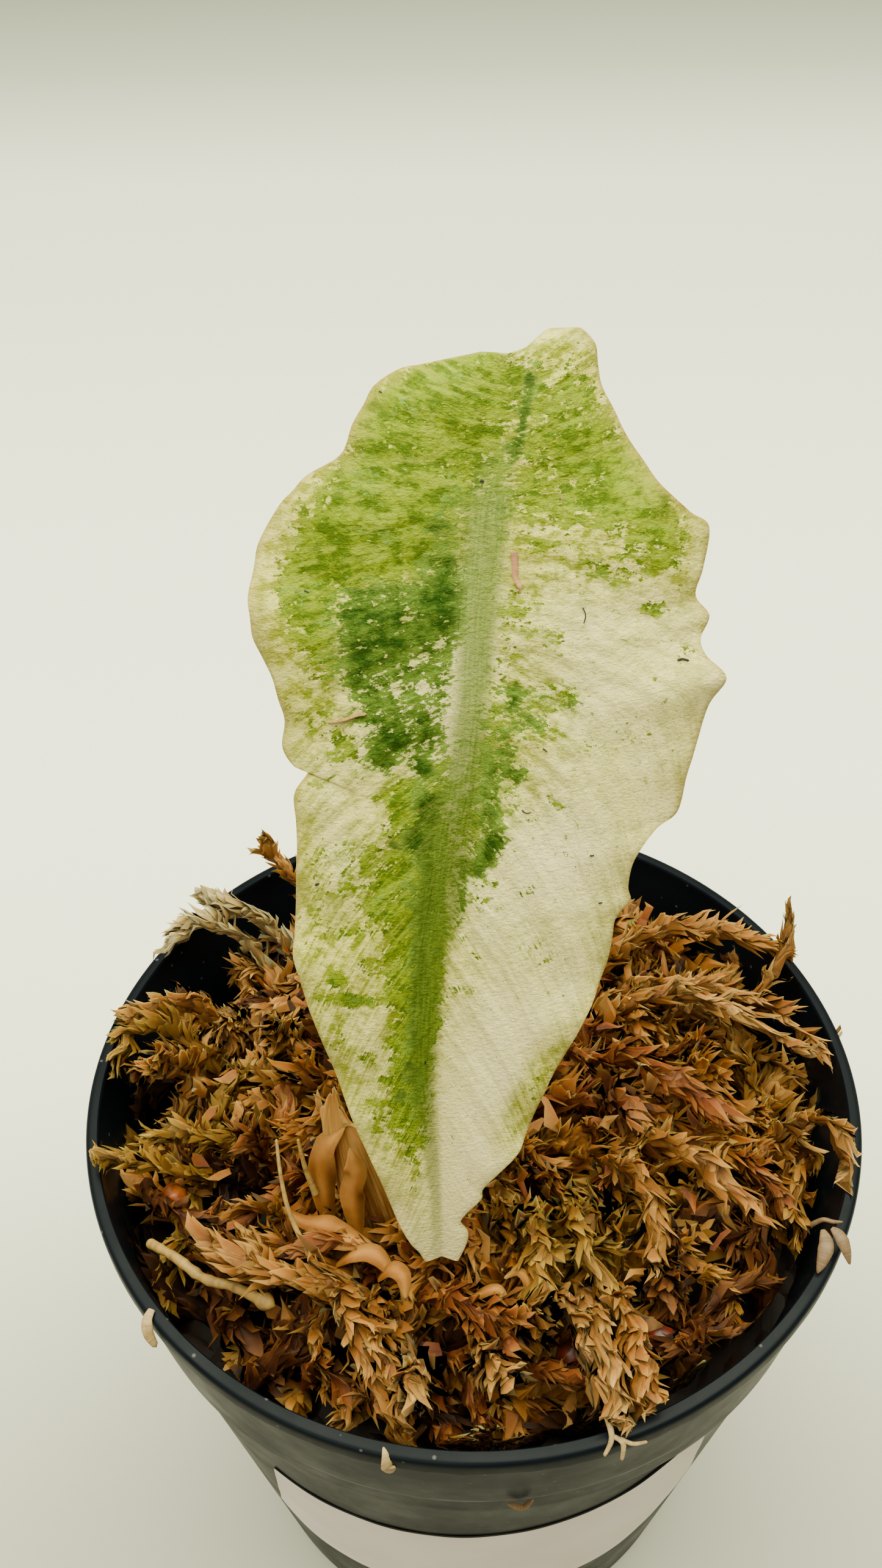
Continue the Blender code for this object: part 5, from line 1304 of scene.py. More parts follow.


# Each region of the bed and its mix of shades: x, y in mm, then shades with their weights
# The regions at the front right and front left, heavy in umber and the near-black shade, paint the shade of
# hollows there
REGIONS = [
    (0, -26, {"rust": 4, "amber": 2, "tan": 2}), (-10, -24, {"amber": 2, "rust": 2, "tan": 3}),
    (-22, -24, {"umber": 4, "honey": 1, "tan": 1}), (-30, -8, {"umber": 2, "ochre": 3, "tan": 2}),
    (-28, 6, {"umber": 1, "honey": 2, "tan": 4}), (-22, 20, {"umber": 2, "tan": 4, "straw": 1}),
    (-14, -8, {"rust": 2, "amber": 3, "umber": 1}), (0, 10, {"umber": 2, "rust": 2, "amber": 1}),
    (10, -27, {"honey": 2, "tan": 3, "rust": 1}), (10, -16, {"ochre": 2, "honey": 3, "amber": 1}),
    (20, -26, {"painted_shade": 2, "umber": 4, "ochre": 2}), (22, -12, {"umber": 1, "amber": 1, "honey": 3}),
    (30, -16, {"painted_shade": 1, "umber": 3, "ochre": 1}), (29, -2, {"rust": 1, "amber": 2, "honey": 4}),
    (16, 0, {"rust": 3, "amber": 3, "honey": 1}), (26, 12, {"honey": 3, "tan": 3}),
    (14, 20, {"rust": 1, "amber": 2, "tan": 4}), (0, 26, {"umber": 2, "rust": 2, "amber": 1}),
]


def shade_at(draw, x, y):
    """The shade of a shoot: its region's mix, where shoots side by side tend to share a shade."""
    spot_x, spot_y = x / MM + draw.gauss(0.0, 2.0), y / MM + draw.gauss(0.0, 2.0)
    mix = min(REGIONS, key=lambda region: (region[0] - spot_x) ** 2 + (region[1] - spot_y) ** 2)[2]
    clump = 0.5 + 0.5 * math.sin(spot_x * 0.42 + 1.7 * math.sin(spot_y * 0.31 + 1.0))
    pick = (0.7 * clump + 0.3 * draw.random()) * sum(mix.values())
    for shade, weight in mix.items():
        pick -= weight
        if pick < 0:
            break
    return shade


def field(draw, count, radius, depth, length, habits, size=1.0, painted_shade_share=0.0):
    """A layer of shoots: roots on an even spiral, each lying outwards or round the pot and drooping."""
    for i in range(count):
        reach = radius * MM * math.sqrt((i + 0.6) / count)
        bearing = i * GOLDEN_ANGLE + draw.uniform(-0.3, 0.3)
        root = Vector((reach * math.cos(bearing), reach * math.sin(bearing), 0.0))
        turned = 0.35 + 0.8 * (reach / (radius * MM)) ** 2
        heading = bearing + turned * (1 if i % 2 else -1) + draw.gauss(0.0, 0.6)
        long = draw.uniform(*length) * MM
        curl = draw.gauss(0.0, 0.8)
        spot = root.copy()
        route = []
        for step in range(6):
            share = step / 5
            heading += curl / 5
            spot += Vector((math.cos(heading), math.sin(heading), 0.0)) * (long / 5 if step else -long / 2.5)
            arch = 2.2 * math.sin(math.pi * (0.1 + 0.8 * share)) - (2.2 if step == 0 else 0.0)
            rise = float(moss_above(spot.x, spot.y)) + (arch + depth + draw.uniform(-0.7, 0.7)) * MM
            route.append(Vector((spot.x, spot.y, RIM + rise)))
        # A share of shoots take the near-black colour, painted shade for the deep layer between the others
        shade = "painted_shade" if draw.random() < painted_shade_share else shade_at(draw, root.x, root.y)
        habit = draw.choices(list(habits), list(habits.values()))[0]
        shoot(draw, shade, route, habit, draw.uniform(0.3, 0.7), size * draw.uniform(0.85, 1.15))


def loose_flakes(draw, count):
    """Single broad leaves and torn bits that lie about on the bed."""
    numbers = np.random.default_rng(draw.randrange(1 << 30))
    for shade in ("tan", "straw", "rust"):
        reach, bearing = 30.5 * MM * np.sqrt(numbers.random(count)), math.tau * numbers.random(count)
        x, y = reach * np.cos(bearing), reach * np.sin(bearing)
        height = RIM + moss_above(x, y) + numbers.uniform(0.6, 2.8, count) * MM
        heading, climb = math.tau * numbers.random(count), numbers.normal(0.1, 0.4, count)
        ahead = unit(np.stack([np.cos(heading), np.sin(heading), climb], -1))
        out = unit(np.cross(np.cross(ahead, [0.0, 0.0, 1.0]), ahead))
        leaflets(
            shade, np.stack([x, y, height], -1), ahead, out,
            numbers.uniform(2.4, 4.6, count) * MM, numbers.uniform(0.7, 1.7, count) * MM,
            numbers.normal(0.2, 0.4, count), numbers.normal(0.0, 0.7, count),
            numbers.uniform(0.2, 1.2, count), numbers.normal(0.0, 0.9, count),
            numbers.uniform(0.3, 0.9, count),
        )


draw = random.Random(7)
field(draw, 90, 34.6, -3.0, (9.0, 15.0), {"buried": 1}, 1.1, painted_shade_share=0.2)
field(draw, 112, 33.0, -1.3, (8.0, 15.0), {"feather": 3, "rope": 4, "string": 1}, painted_shade_share=0.06)
field(draw, 76, 31.0, 0.2, (7.0, 13.0), {"rope": 3, "feather": 1, "string": 4}, 0.9)
field(draw, 22, 29.0, 1.2, (3.0, 4.5), {"head": 1}, 0.9)
loose_flakes(draw, 60)
print({shade: len(heap["points"]) for shade, heap in shades.items()})

# %% Shoots that stand out
# Shade, habit, size, and the route in mm as (x, y, above the rim)
STANDING_TONE = 0.44
STANDING = [
    ("tan", "feather", 1.15, [(-12, -21.6, -2), (-11.4, -25, 2.2), (-10, -28.2, 1.2), (-8.6, -31.4, -2.2)]),
    ("tan", "rope", 0.9, [(-9, -24, 0), (-9.2, -27.6, 1.8), (-7.6, -30.6, 0.4), (-6.6, -33, -2.6)]),
    ("straw", "head", 1, [(-5.6, -28.7, -1.4), (-6, -30.6, 0.8), (-5.8, -32.2, 1.4)]),
    ("rust", "head", 1.1, [(-1.6, -24.4, 0.6), (0.4, -26.4, 2.8), (2.4, -27.4, 4)]),
    ("rust", "feather", 1, [(-4.6, -22.6, 0), (-2.6, -24.8, 2.6), (-0.4, -26.6, 3.2), (1.8, -28.6, 3)]),
    ("straw", "head", 0.95, [(-0.6, -28.4, 0.2), (0.4, -30.2, 1.8), (1.4, -31.6, 2.4)]),
    ("tan", "head", 0.95, [(2.6, -26, 1.2), (3.8, -27.4, 3.6), (4.8, -27.8, 5.2)]),
    ("straw", "string", 1.5, [(7.4, -22, -1), (8, -27, 2.2), (9.6, -32, 2.4), (11.4, -36.4, 1.6)]),
    ("straw", "rope", 1.1, [(9.6, -23, -1), (9.8, -27.4, 2.6), (10.4, -31, 3), (11, -34.6, 2)]),
    ("tan", "feather", 1.1, [(12.4, -22, -2), (12.4, -26.6, 2.2), (13, -30.6, 2.8), (13.8, -34.2, 1.4)]),
    ("ochre", "feather", 1.15, [(4.6, -15, 0), (5, -18.6, 3.8), (5.2, -22, 3.8), (5.4, -25.4, 2.6)]),
    ("ochre", "rope", 1, [(8, -14, 0), (8.6, -18, 3.2), (9.6, -21.6, 3), (11.4, -24.6, 1.4)]),
    ("tan", "feather", 1.25, [(-11, -20.6, -1), (-15, -22.2, 2), (-19.4, -21.6, 2.6), (-23.6, -19.2, 2.4)]),
    ("tan", "rope", 1.1, [(-9, -23.4, -1), (-13, -23.6, 2.2), (-17, -22.6, 3), (-19, -21.4, 3.4)]),
    ("rust", "rope", 1, [(-8, -20, 0), (-11.6, -19.6, 3), (-15, -19.8, 2), (-18.4, -21.4, 0.6)]),
    ("tan", "feather", 1, [(13, 15, -2), (19.5, 17.6, 1.8), (26.5, 17.2, 2.4), (33, 14, 2.6)]),
    ("straw", "string", 1.4, [(28, 9.6, -4), (31.4, 11.6, 0.6), (33.2, 13.4, 3.6), (33.8, 14.8, 6)]),
    ("straw", "rope", 1.1, [(16.6, 13, -2), (21.6, 9.4, 1.8), (27, 6, 2.2), (32.4, 2.2, 1.6)]),
    ("tan", "rope", 1, [(12, 8, -1), (17.6, 8, 2.2), (23.2, 9.6, 2.6), (28.4, 8.4, 1.8)]),
    ("tan", "string", 1.3, [(26, 10, -3), (30, 8.4, 0.6), (33.2, 5.6, 0.6), (35.4, 3, -0.6)]),
    ("straw", "string", 1.4, [(29.4, -4.6, -4), (32.4, -6.6, 1.6), (34.6, -9.4, 2), (35.6, -12.4, 0.9)]),
    ("ochre", "feather", 0.9, [(-26, 4.6, -4), (-30.6, 5.8, 1.8), (-33.6, 5, 2.8), (-35, 2.2, 2.2)]),
    ("tan", "feather", 0.9, [(-24, 8, -3), (-28, 8.8, 1.8), (-32, 7.6, 3), (-34.6, 6.4, 3.4)]),
    ("tan", "head", 0.9, [(-28, 3, -1), (-30.4, 2.2, 1.4), (-32, 0.6, 2.2)]),
    ("ochre", "feather", 0.9, [(-25, -8.8, -4), (-29, -9.8, 0.8), (-32.6, -10, 2.2), (-35.4, -9.7, 2)]),
    ("ochre", "rope", 0.9, [(-22, -6, -3), (-25, -7, 0.6), (-28, -6.6, 1.4), (-30.6, -7.2, 1.2)]),
    ("cream", "feather", 0.9, [(-21, 18.4, -5), (-25.6, 19.4, 1.6), (-29, 19, 3.2), (-32, 17.2, 2.4)]),
    ("cream", "rope", 0.9, [(-18, 20, -5), (-22, 20.6, 1), (-25.4, 21, 3.4), (-27.4, 21.6, 4.2)]),
    ("tan", "feather", 0.9, [(-14, 23, -6), (-18, 26, 0.8), (-20.8, 28.2, 3), (-22, 28.8, 4.8)]),
    ("tan", "rope", 1.1, [(14, -6, -2), (18.4, -9.4, 2.2), (22, -12.6, 2), (25.2, -15.6, 0.6)]),
    ("rust", "rope", 1.15, [(10, 2, -2), (15, 0.4, 2.6), (19.6, -2.4, 2.6), (23.6, -5.6, 1.2)]),
    ("tan", "rope", 1, [(12, -10, 0), (14.6, -12.8, 2.8), (15.8, -16.8, 2.4), (15.6, -20.6, 1)]),
    ("umber", "feather", 0.95,
     [(19.6, -25.2, -2.8), (17.4, -27.6, -0.8), (15.2, -29, -0.6), (12.6, -29.8, -2)]),
    ("rust", "rope", 0.95, [(4.4, -29, -2.6), (7, -30.2, -0.5), (9.6, -30.4, -0.6), (12, -29.8, -2.4)]),
    ("umber", "rope", 0.9,
     [(-31.4, -9.4, -3), (-29.8, -12.2, -1.4), (-27.4, -13.6, -1.2), (-24.8, -13.4, -2.4)]),
]
for shade, habit, size, route in STANDING:
    shoot(draw, shade, [at(*p) for p in route], habit, STANDING_TONE, size)

# Broad leaves that curl round the sheath's foot and under the blade's tip: route and half widths in mm
BROAD = [
    ([(-13.6, -15.6, -0.4), (-14, -13.6, 3.6), (-13.4, -12.6, 7.2), (-11.8, -12.2, 9.4)],
     [0.5, 1.3, 1.6, 0.3]),
    ([(-10.8, -17.2, 0.2), (-11.2, -15.4, 3.8), (-10.8, -14.6, 6.6), (-11.2, -13.6, 8.4)],
     [0.5, 1.2, 1.1, 0.1]),
    ([(-17.4, -16.2, 3.4), (-15.6, -17.2, 2.6), (-13.2, -17.9, 3), (-10.8, -18.6, 2.2)],
     [0.1, 0.7, 1.1, 0.5]),
    ([(-15, -18.4, 0.6), (-13.6, -19, 2.2), (-11.6, -19.4, 3.2), (-9.4, -20, 2.8)], [0.2, 0.8, 1.2, 0.4]),
    ([(-12.6, -20.9, 1.4), (-10.8, -20.9, 3.2), (-9, -21.2, 3.6), (-7.4, -22.4, 2)], [0.2, 0.8, 1, 0.3]),
    ([(-8.8, -22.4, 1.6), (-7.6, -22.6, 3.6), (-6.6, -23.4, 3.8), (-6.4, -24.6, 2.4)], [0.3, 0.9, 0.8, 0.2]),
    ([(-4.6, -24, 1.2), (-3.4, -24.6, 3), (-2.2, -25, 2.8), (-1.4, -24.2, 1.8)], [0.3, 0.5, 0.5, 0.2]),
    ([(-1.2, -25, 1.6), (0.2, -24.8, 3.2), (1.6, -24.6, 3.4), (2.4, -25.4, 2.2)], [0.3, 0.5, 0.5, 0.2]),
    ([(3.4, -25.2, 1.4), (4.2, -24.2, 3.2), (3.4, -23.2, 3.8), (2.2, -23.4, 3.2)], [0.3, 0.5, 0.45, 0.15]),
]
for route, widths in BROAD:
    route = [at(*p) for p in route]
    points, faces, along = tube(route, [width * MM for width in widths], sides=12, rings=20, flat=0.2)
    same = np.ones(len(points))
    outward = unit(points - curve(route, along))
    gather("tan", points, faces, tone=same * 0.75, reach=0.3 + 0.5 * along, edge=same * 0.4, outward=outward)
print("standing shoots:", len(STANDING))


# %% [markdown]
# Each shade of moss is one material. Sphagnum has no cuticle to speak of, so it is matt, and its leaves are
# one cell thick and let light through. Their edges and tips are paler, partly their own colour and partly a
# painted glow of that light. Their folded base is darker, partly its own rust and umber and partly painted
# shade between the overlapping leaves, and the deep layer's near-black is painted shade. The material reads
# how far along and across its leaflet a point is. Mottling about 2.4 mm wide and wrinkles of 0.4 mm go over
# all of it.

# %% Dye and assemble the moss
# Each leaflet's dark foot is partly painted shade between leaves, and its pale tip partly a painted glow of
# light through it
MOSS_SHADES = {  # foot, middle and tip of a leaflet
    # The near-black first entry is painted shade for the deep layer, the hollows and the bed under the shoots
    "painted_shade": ("#0d0401", "#241005", "#3c200d"),
    "umber": ("#230d03", "#42200a", "#643b16"),
    "rust": ("#3a1404", "#683312", "#8c5829"),
    "amber": ("#451c04", "#774312", "#9d682d"),
    "honey": ("#4c2606", "#80501a", "#a57738"),
    "tan": ("#4a2409", "#7f4d1d", "#a6753a"),
    "straw": ("#532f11", "#875727", "#a97e44"),
    "cream": ("#5c3c1c", "#a18350", "#c6b083"),
    "ochre": ("#3f230a", "#714b16", "#97722c"),
}


def dried_sphagnum_look(name, foot, middle, tip):
    look, shader = new_look(
        f"moss_dried_sphagnum_{name}", 0.6, 1.38, Specular_IOR_Level=0.2,
        Subsurface_Weight=0.55, Subsurface_Scale=1.2 * MM, Subsurface_Radius=(1.0, 0.6, 0.3),
    )
    place = add(look, "TexCoord", out="Object")
    tone, reach, edge = (
        add(look, "Attribute", out="Fac", attribute_name=measure) for measure in ("tone", "reach", "edge")
    )
    mottle = add(look, "TexNoise", {"Vector": place, "Scale": 420.0, "Detail": 4.0})
    # Paler to the tip and edge, partly a painted glow of light through the leaf; darker at the foot, partly
    # painted shade
    paleness = summed(
        look, (reach, 0.62),
        (add(look, "MapRange", [tone, 0.0, 1.0, 0.0, 0.42]), 1.0),
        (add(look, "MapRange", [edge, 0.0, 1.0, -0.08, 0.1]), 1.0),
        (add(look, "MapRange", [mottle, 0.3, 0.7, -0.14, 0.14]), 1.0),
    )
    colour = add(look, "ValToRGB", [paleness], stops=[(0.06, foot), (0.5, middle), (0.95, tip)])

    # Leaves pressed together shade as one soft form, so each leans towards its shoot's own direction
    leaf_normal = add(look, "NewGeometry", out="Normal")
    outward = add(look, "Attribute", out="Vector", attribute_name="outward")
    softened = add(look, "Mix", {0: 0.62, 4: leaf_normal, 5: outward}, out=1, data_type="VECTOR")
    normal = add(look, "VectorMath", [softened], operation="NORMALIZE")
    wrinkles = add(look, "TexNoise", {"Vector": place, "Scale": 2400.0, "Detail": 3.0})
    return cover(look, shader, colour, wrinkles, 0.3, 0.1 * MM, {"Normal": normal})


WALL_GAP = 0.15 * MM
FRONT_GAP = 3.0 * MM
SPILL = 36.5 * MM  # moss that reaches further out than this is drawn in to about a third
BOX_HALF = 37.95 * MM
FRONT_WAY = (0.3, -0.95)  # x and y of the side where the gap is widest


def within_pot(points):
    """Presses points back from the pot's wall, or lifts them over its rim, so that nothing pierces it."""
    reach = np.hypot(points[:, 0], points[:, 1])
    limit = inner_radius(np.minimum(points[:, 2], RIM)) - WALL_GAP
    over = reach - limit
    below = RIM + WALL_GAP - points[:, 2]
    lift = (over > 0) & (below > 0) & (below < over)
    points[lift, 2] = RIM + WALL_GAP

    # At the front the moss has shrunk back from the wall and left a dark gap
    frontward = (FRONT_WAY[0] * points[:, 0] + FRONT_WAY[1] * points[:, 1]) / np.maximum(reach, MM)
    limit = limit - FRONT_GAP * np.clip(frontward, 0.0, 1.0) ** 3
    press = (reach > limit) & (below > -0.6 * MM) & ~lift
    points[press, :2] *= (limit[press] / reach[press])[:, None]
    far = np.hypot(points[:, 0], points[:, 1])
    held = np.where(far > SPILL, SPILL + 0.35 * (far - SPILL), far)
    points[:, :2] *= (held / np.maximum(far, MM))[:, None]
    points[:, :2] = np.clip(points[:, :2], -BOX_HALF, BOX_HALF)
    return points


moss_looks = {name: dried_sphagnum_look(name, *colours) for name, colours in MOSS_SHADES.items()}
for shade, heap in shades.items():
    points, faces = within_pot(np.concatenate(heap["points"])), np.concatenate(heap["faces"])
    measures = {name: np.concatenate(heap[name]) for name in ("tone", "reach", "edge", "outward")}
    piece(f"moss_{shade}", points, faces, moss_looks[shade], "dried_moss", sharp=50.0, **measures)


# %% Fill the pot under the shoots
def bed_body(rings=44, sides=144):
    """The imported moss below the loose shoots: the pot's inside, closed with the mound a little lower."""
    edge = RIM + MOUND_EDGE * MM
    share = np.linspace(1.0, 0.02, rings)[:, None]
    turns = np.linspace(0.0, math.tau, sides, endpoint=False)[None, :]
    radius = (float(inner_radius(edge)) - 0.35 * MM) * share
    x, y = radius * np.cos(turns), radius * np.sin(turns)
    lumps = np.sin(x * 2600.0 + 3.0 * np.sin(y * 1900.0)) * np.sin(y * 2300.0 + 2.0 * np.sin(x * 2100.0))
    top = RIM + moss_above(x, y) - (3.6 + 2.4 * share**6) * MM + 1.1 * MM * lumps
    top = np.where(share > 0.99, edge - 5.0 * MM, top)
    walls = []

    # Height and gap to the pot's wall in mm, from the floor up
    for height, off in ((4.0, 1.6), (5.2, 0.5), (52.0, 0.5)):
        wall = float(inner_radius(height * MM)) - off * MM
        walls.append(np.stack([wall * np.cos(turns), wall * np.sin(turns), 0.0 * turns + height * MM], -1))
    skin = np.concatenate([*walls, np.stack([x, y, top], -1)])
    points = np.concatenate([skin.reshape(-1, 3), [(0.0, 0.0, 4.0 * MM), (0.0, 0.0, float(top[-1].mean()))]])
    faces = [grid_triangles(len(skin), sides, closed=True)]
    ring = np.arange(sides)
    after, last = (ring + 1) % sides, (len(skin) - 1) * sides
    faces.append(np.stack([ring, np.full(sides, len(points) - 2), after], -1))
    faces.append(np.stack([last + ring, last + after, np.full(sides, len(points) - 1)], -1))
    return points, np.concatenate(faces)


points, faces = bed_body()
# The bed under the shoots takes the near-black colour, a dark fill painted as the shade under them
flat = np.full(len(points), 0.15)
upward = np.tile((0.0, 0.0, 1.0), (len(points), 1))
piece(
    "moss_bed_body", points, faces, moss_looks["painted_shade"], "dried_moss", ["moss_bed"],
    tone=flat, reach=flat * 1.4, edge=0.0 * flat, outward=upward,
)

# %% [markdown]
# ## Small things in and on the moss
# A bare pale stem lies across the moss at the left, three grains of slow-release fertiliser lie between the
# shoots, three dry strands stand or curl near the sheath, and a few scraps have fallen on the leaf and the
# pot. All are small tapering tubes or smooth pebbles.

# %% The pale stem and the dry strands
def dry_fibre_look(name, pale, deep):
    """A dry plant fibre: matt straw, mottled 0.7 mm wide, with darker nodes along it."""
    look, shader = new_look(name, 0.6, 1.45, Subsurface_Weight=0.1, Subsurface_Scale=0.5 * MM)
    place = add(look, "TexCoord", out="Object")
    mottle = add(look, "TexNoise", {"Vector": place, "Scale": 1500.0, "Detail": 4.0})
    share = add(look, "Attribute", out="Vector", attribute_name="share")
    nodes = add(look, "TexNoise", {"Vector": share, "Scale": 9.0, "Detail": 2.0})
    darker = summed(
        look, (add(look, "MapRange", [mottle, 0.4, 0.7, 0.0, 0.5]), 1.0),
        (add(look, "MapRange", [nodes, 0.45, 0.65, 0.0, 0.5]), 1.0),
    )
    return cover(look, shader, layered(look, pale, (darker, deep)), mottle, 0.4, 0.1 * MM)


straw_look = dry_fibre_look("stem_dry_straw", "#927439", "#5f401a")
pale_route = [at(*p) for p in (
    (-30.4, -15.6, -3.2), (-27.6, -18.0, -1.6), (-24.6, -20.4, -1.2), (-21.6, -21.8, -0.4),
    (-18.2, -24.0, 0.6),
)]
shares = np.linspace(0.0, 1.0, 60)
knots = 0.8 * np.exp(-(((shares - 0.94) / 0.05) ** 2)) + 0.22 * np.exp(-(((shares - 0.42) / 0.03) ** 2))
waver = 0.08 * np.sin(shares * 25.2) + 0.05 * np.sin(shares * 61.0) + 0.03 * np.sin(shares * 118.0)
points, faces, shares = tube(pale_route, 0.5 * MM * (0.9 + knots + waver), sides=20, rings=110)
piece("straw_stem", points, faces, straw_look, "dry_stem", ["pale_stem"], share=shares)


def thin_tubes(name, routes, look, slot, sides=8, rings=18):
    """Thin tubes as one piece. Each has its route in metres, its two end radii in mm, and its flatness."""
    points, faces, shares = joined([
        tube(route, [thick * MM, (thick + thin) / 2 * MM, thin * MM], sides, rings, flat)
        for route, thick, thin, flat in routes
    ])
    piece(name, points, faces, look, slot, share=shares)


# Route in mm, and the radii at its foot and its tip
STRANDS = [
    ([(-14.2, -21.4, 1), (-15.2, -20, 2.8), (-16.6, -17.8, 5), (-17.3, -15.6, 7.4), (-17.7, -13.1, 9.2)],
     0.3, 0.14),
    ([(-14.6, -14.6, 3.0), (-15.4, -13.6, 5.6), (-15.9, -12.4, 8.2)], 0.34, 0.13),
    ([(-18.4, -23.5, 0.8), (-19.0, -23.3, 1.6), (-19.3, -22.7, 2.2), (-19.0, -22.1, 2.8)], 0.14, 0.07),
]
strands = [([at(*p) for p in route], thick, thin, 1.0) for route, thick, thin in STRANDS]
thin_tubes("dry_strands", strands, straw_look, "dry_stem")

# %% Lay the broad dry leaves and bits on the rim
# Each is a flattened tube that swells and closes: a route, its radii in mm, and how flat it is
RIM_BITS = {
    "pale": [
        ([(-8.2, -36.4, 0.15), (-7.98, -37.1, -0.25), (-7.85, -37.38, -1.3), (-7.78, -37.3, -2.5)],
         [0.05, 0.3, 0.55, 0.62, 0.28], 0.28),
        ([(-28.6, -24.1, 0.25), (-28.9, -25.0, 0.1), (-28.8, -25.8, -0.6), (-28.3, -26.3, -1.8)],
         [0.3, 0.42, 0.5, 0.46, 0.3], 0.4),
        ([(9.9, -34.4, 1.4), (10.3, -36.1, 0.5), (9.7, -37.1, -0.5)], [0.3, 0.24, 0.14], 0.7),
        ([(10.4, -36.0, 0.5), (11.2, -36.5, 0.2), (11.1, -37.3, -0.9)], [0.2, 0.24, 0.14], 0.7),
        ([(11.0, -36.2, 0.4), (12.0, -36.5, 0.1), (13.2, -36.1, -0.5)], [0.2, 0.18, 0.12], 0.7),
    ],
    "brown": [
        ([(30.8, -18.6, 1.9), (30.9, -19.8, 1.7), (30.5, -20.9, 1.2), (29.9, -21.9, 0.4)],
         [0.2, 0.6, 0.7, 0.5, 0.1], 0.45),
        ([(31.6, -18.5, 2.0), (32.2, -19.2, 1.8), (32.6, -20.1, 1.3), (32.9, -21.1, 0.4)],
         [0.2, 0.54, 0.64, 0.45, 0.12], 0.45),
        ([(30.2, -17.4, 0.8), (31.0, -17.6, 1.9), (31.8, -18.0, 2.2), (32.7, -17.9, 2.0)],
         [0.26, 0.22, 0.2, 0.06], 0.9),
        ([(2.0, -36.95, -10.0), (2.7, -36.85, -10.7), (3.4, -36.8, -11.2)], [0.08, 0.34, 0.2], 0.4),
        ([(4.2, -36.8, -9.6), (3.7, -36.8, -10.6), (3.0, -36.7, -11.9)], [0.06, 0.34, 0.16], 0.4),
    ],
}
for shade, pale, deep in (("pale", "#9c8356", "#6c5331"), ("brown", "#6b5236", "#3f2d1a")):
    points, faces, shares = joined([
        tube([at(*p) for p in route], [radius * MM for radius in radii], 14, 22, flat)
        for route, radii, flat in RIM_BITS[shade]
    ])
    look = dry_fibre_look(f"moss_dried_broad_leaf_{shade}", pale, deep)
    piece(f"rim_bits_{shade}", points, faces, look, "dried_moss", share=shares)

# %% [markdown]
# ## Fertiliser grains and the corm
# Slow-release fertiliser is a salt grain in a thin resin coat, about 3 mm across, amber to dark red. Moss
# dust has dulled these a little. No grain is a perfect ball, so each is a smooth pebble with its own slow
# wobble. The corm and its roots stay as the CAD solid is, under the moss, with a real corm's fibrous skin.


# %% Make the grains
def resin_coat_look(name, deep, bright):
    look, shader = new_look(
        name, 0.38, 1.52, Specular_IOR_Level=0.3,
        Subsurface_Weight=0.35, Subsurface_Scale=0.8 * MM, Subsurface_Radius=(1.0, 0.35, 0.1),
    )
    place = add(look, "TexCoord", out="Object")
    clouds = add(look, "TexNoise", {"Vector": place, "Scale": 700.0, "Detail": 3.0})
    tone = layered(look, deep, (add(look, "MapRange", [clouds, 0.35, 0.65]), bright))
    return cover(look, shader, tone, clouds, 0.2, 0.1 * MM)


def pebble(centre, radius, phase):
    """A smooth ball with a slow wobble."""
    ball = bmesh.new()
    bmesh.ops.create_icosphere(ball, subdivisions=4, radius=1.0)
    points = np.array([v.co for v in ball.verts])
    faces = np.array([[v.index for v in f.verts] for f in ball.faces])
    ball.free()
    wobble = 1.0 + 0.035 * np.sin(points @ np.array([3.1, 1.7, 2.3]) + phase)
    wobble += 0.02 * np.sin(points @ np.array([-5.0, 6.1, 4.2]) + phase)
    return np.array(centre) + points * wobble[:, None] * radius, faces


GRAIN_RADIUS = 1.4 * MM
GRAIN_PLACES = [(-28.8, -10.6, -3.6), (16.0, -25.6, -4.0), (8.0, -27.4, -3.0)]
amber = resin_coat_look("prill_amber_resin", "#541f07", "#98501c")
garnet = resin_coat_look("prill_garnet_resin", "#2a0a04", "#5c1c0c")
for i, (place, look) in enumerate(zip(GRAIN_PLACES, (amber, garnet, garnet))):
    points, faces = pebble(at(*place), GRAIN_RADIUS, i * 1.7)
    piece(f"fertiliser_grain_{i + 1}", points, faces, look, "prill", [f"fertiliser_prill_{i + 1}"])


# %% Skin the corm
def corm_look():
    look, shader = new_look("corm_fibrous_skin", 0.75, 1.45)
    place = add(look, "TexCoord", out="Object")
    bands = add(look, "TexNoise", {"Vector": place, "Scale": 500.0, "Detail": 5.0})
    tone = layered(look, "#3b2113", (add(look, "MapRange", [bands, 0.35, 0.7]), "#7f5a36"))
    return cover(look, shader, tone, bands, 0.6, 0.2 * MM)


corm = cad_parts["corm"]
for socket in corm.material_slots:
    socket.material = corm_look()

# %% Scatter the scraps that lie on the leaf
black_scrap = dry_fibre_look("scrap_black_crumbs", "#1d1a14", "#0d0c09")
brown_scrap = dry_fibre_look("scrap_brown_fibre", "#b07f5c", "#8a5c3c")


def scraps(name, spots, lift, flat, look, sides=8, rings=14):
    """Scraps on the blade: each a route of x and height in mm, and its two end radii."""
    routes = [([on_blade(x, along, lift)[0] for x, along in way], a, b, flat) for way, a, b in spots]
    thin_tubes(name, routes, look, "dried_moss", sides, rings)


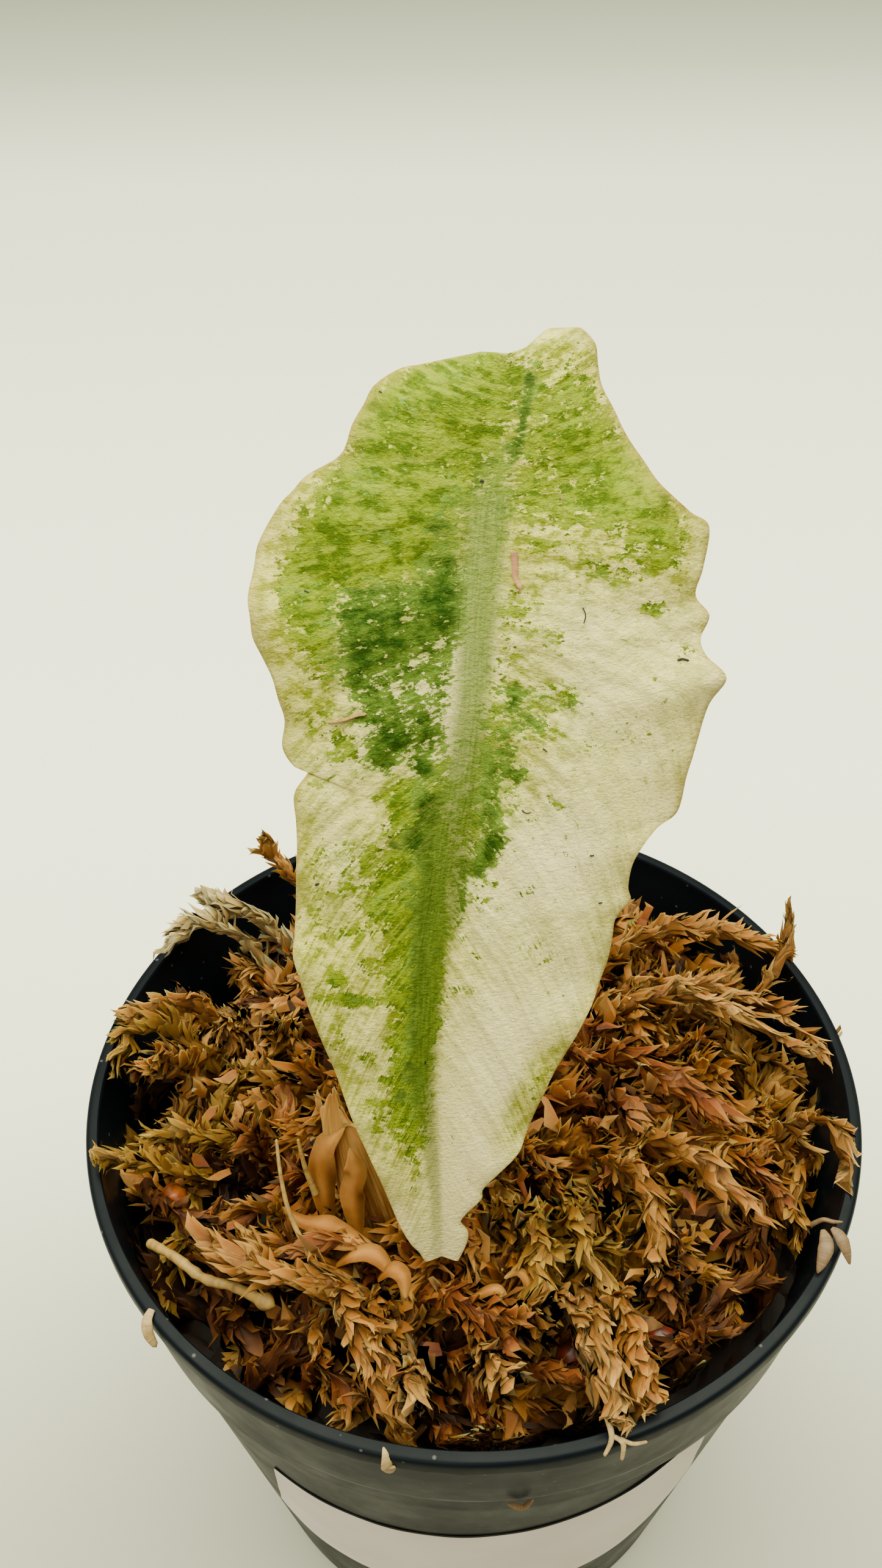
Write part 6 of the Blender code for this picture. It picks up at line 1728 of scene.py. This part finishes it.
black_spots = [
    ([(0.65, 68.05), (0.95, 67.95)], 0.13, 0.1), ([(8.1, 59.0), (8.15, 58.4), (8.2, 57.7)], 0.05, 0.04),
    ([(7.2, 58.75), (7.4, 58.72)], 0.08, 0.06), ([(14.95, 54.75), (15.3, 54.85), (15.75, 54.7)], 0.1, 0.09),
    ([(-12.35, 37.9), (-12.05, 37.95)], 0.14, 0.08),
    ([(8.75, 39.95), (9.05, 40.05), (8.95, 39.8)], 0.08, 0.06),
    ([(11.9, 46.5), (12.02, 46.45)], 0.08, 0.06), ([(9.45, 36.0), (9.58, 35.95)], 0.08, 0.06),
    ([(-6.6, 41.7), (-6.45, 41.65)], 0.07, 0.05), ([(-6.4, 74.5), (-6.25, 74.3)], 0.06, 0.05),
    ([(5.15, 48.3), (5.3, 48.1)], 0.06, 0.04), ([(3.7, 43.6), (3.95, 43.4), (4.1, 43.55)], 0.06, 0.04),
    ([(-4.25, 22.1), (-4.2, 21.8)], 0.06, 0.05), ([(6.6, 52.5), (6.75, 52.45)], 0.09, 0.07),
    ([(-12.1, 60.5), (-11.9, 60.45)], 0.07, 0.05), ([(13.55, 64.8), (13.7, 64.6)], 0.06, 0.05),
]
scraps("leaf_black_scraps", black_spots, 0.04, 0.8, black_scrap, 6, 6)
brown_spots = [
    ([(3.2, 62.8), (3.15, 61.9), (3.3, 61.0), (3.6, 60.2)], 0.26, 0.2),
    ([(5.1, 66.9), (5.8, 67.1), (6.4, 66.9), (6.45, 66.4)], 0.03, 0.025),
]
scraps("leaf_brown_scraps", brown_spots, 0.16, 0.5, brown_scrap)
pale_spots = [([(-10.6, 50.75), (-9.6, 50.9), (-8.6, 51.2), (-8.1, 51.35)], 0.14, 0.2)]
scraps("leaf_pale_scraps", pale_spots, 0.14, 0.6, straw_look)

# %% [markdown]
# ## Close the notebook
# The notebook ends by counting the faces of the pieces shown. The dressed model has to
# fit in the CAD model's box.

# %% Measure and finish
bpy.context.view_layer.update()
faces_shown = sum(len(o.data.polygons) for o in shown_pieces() if o.type == "MESH")
print("faces:", faces_shown)
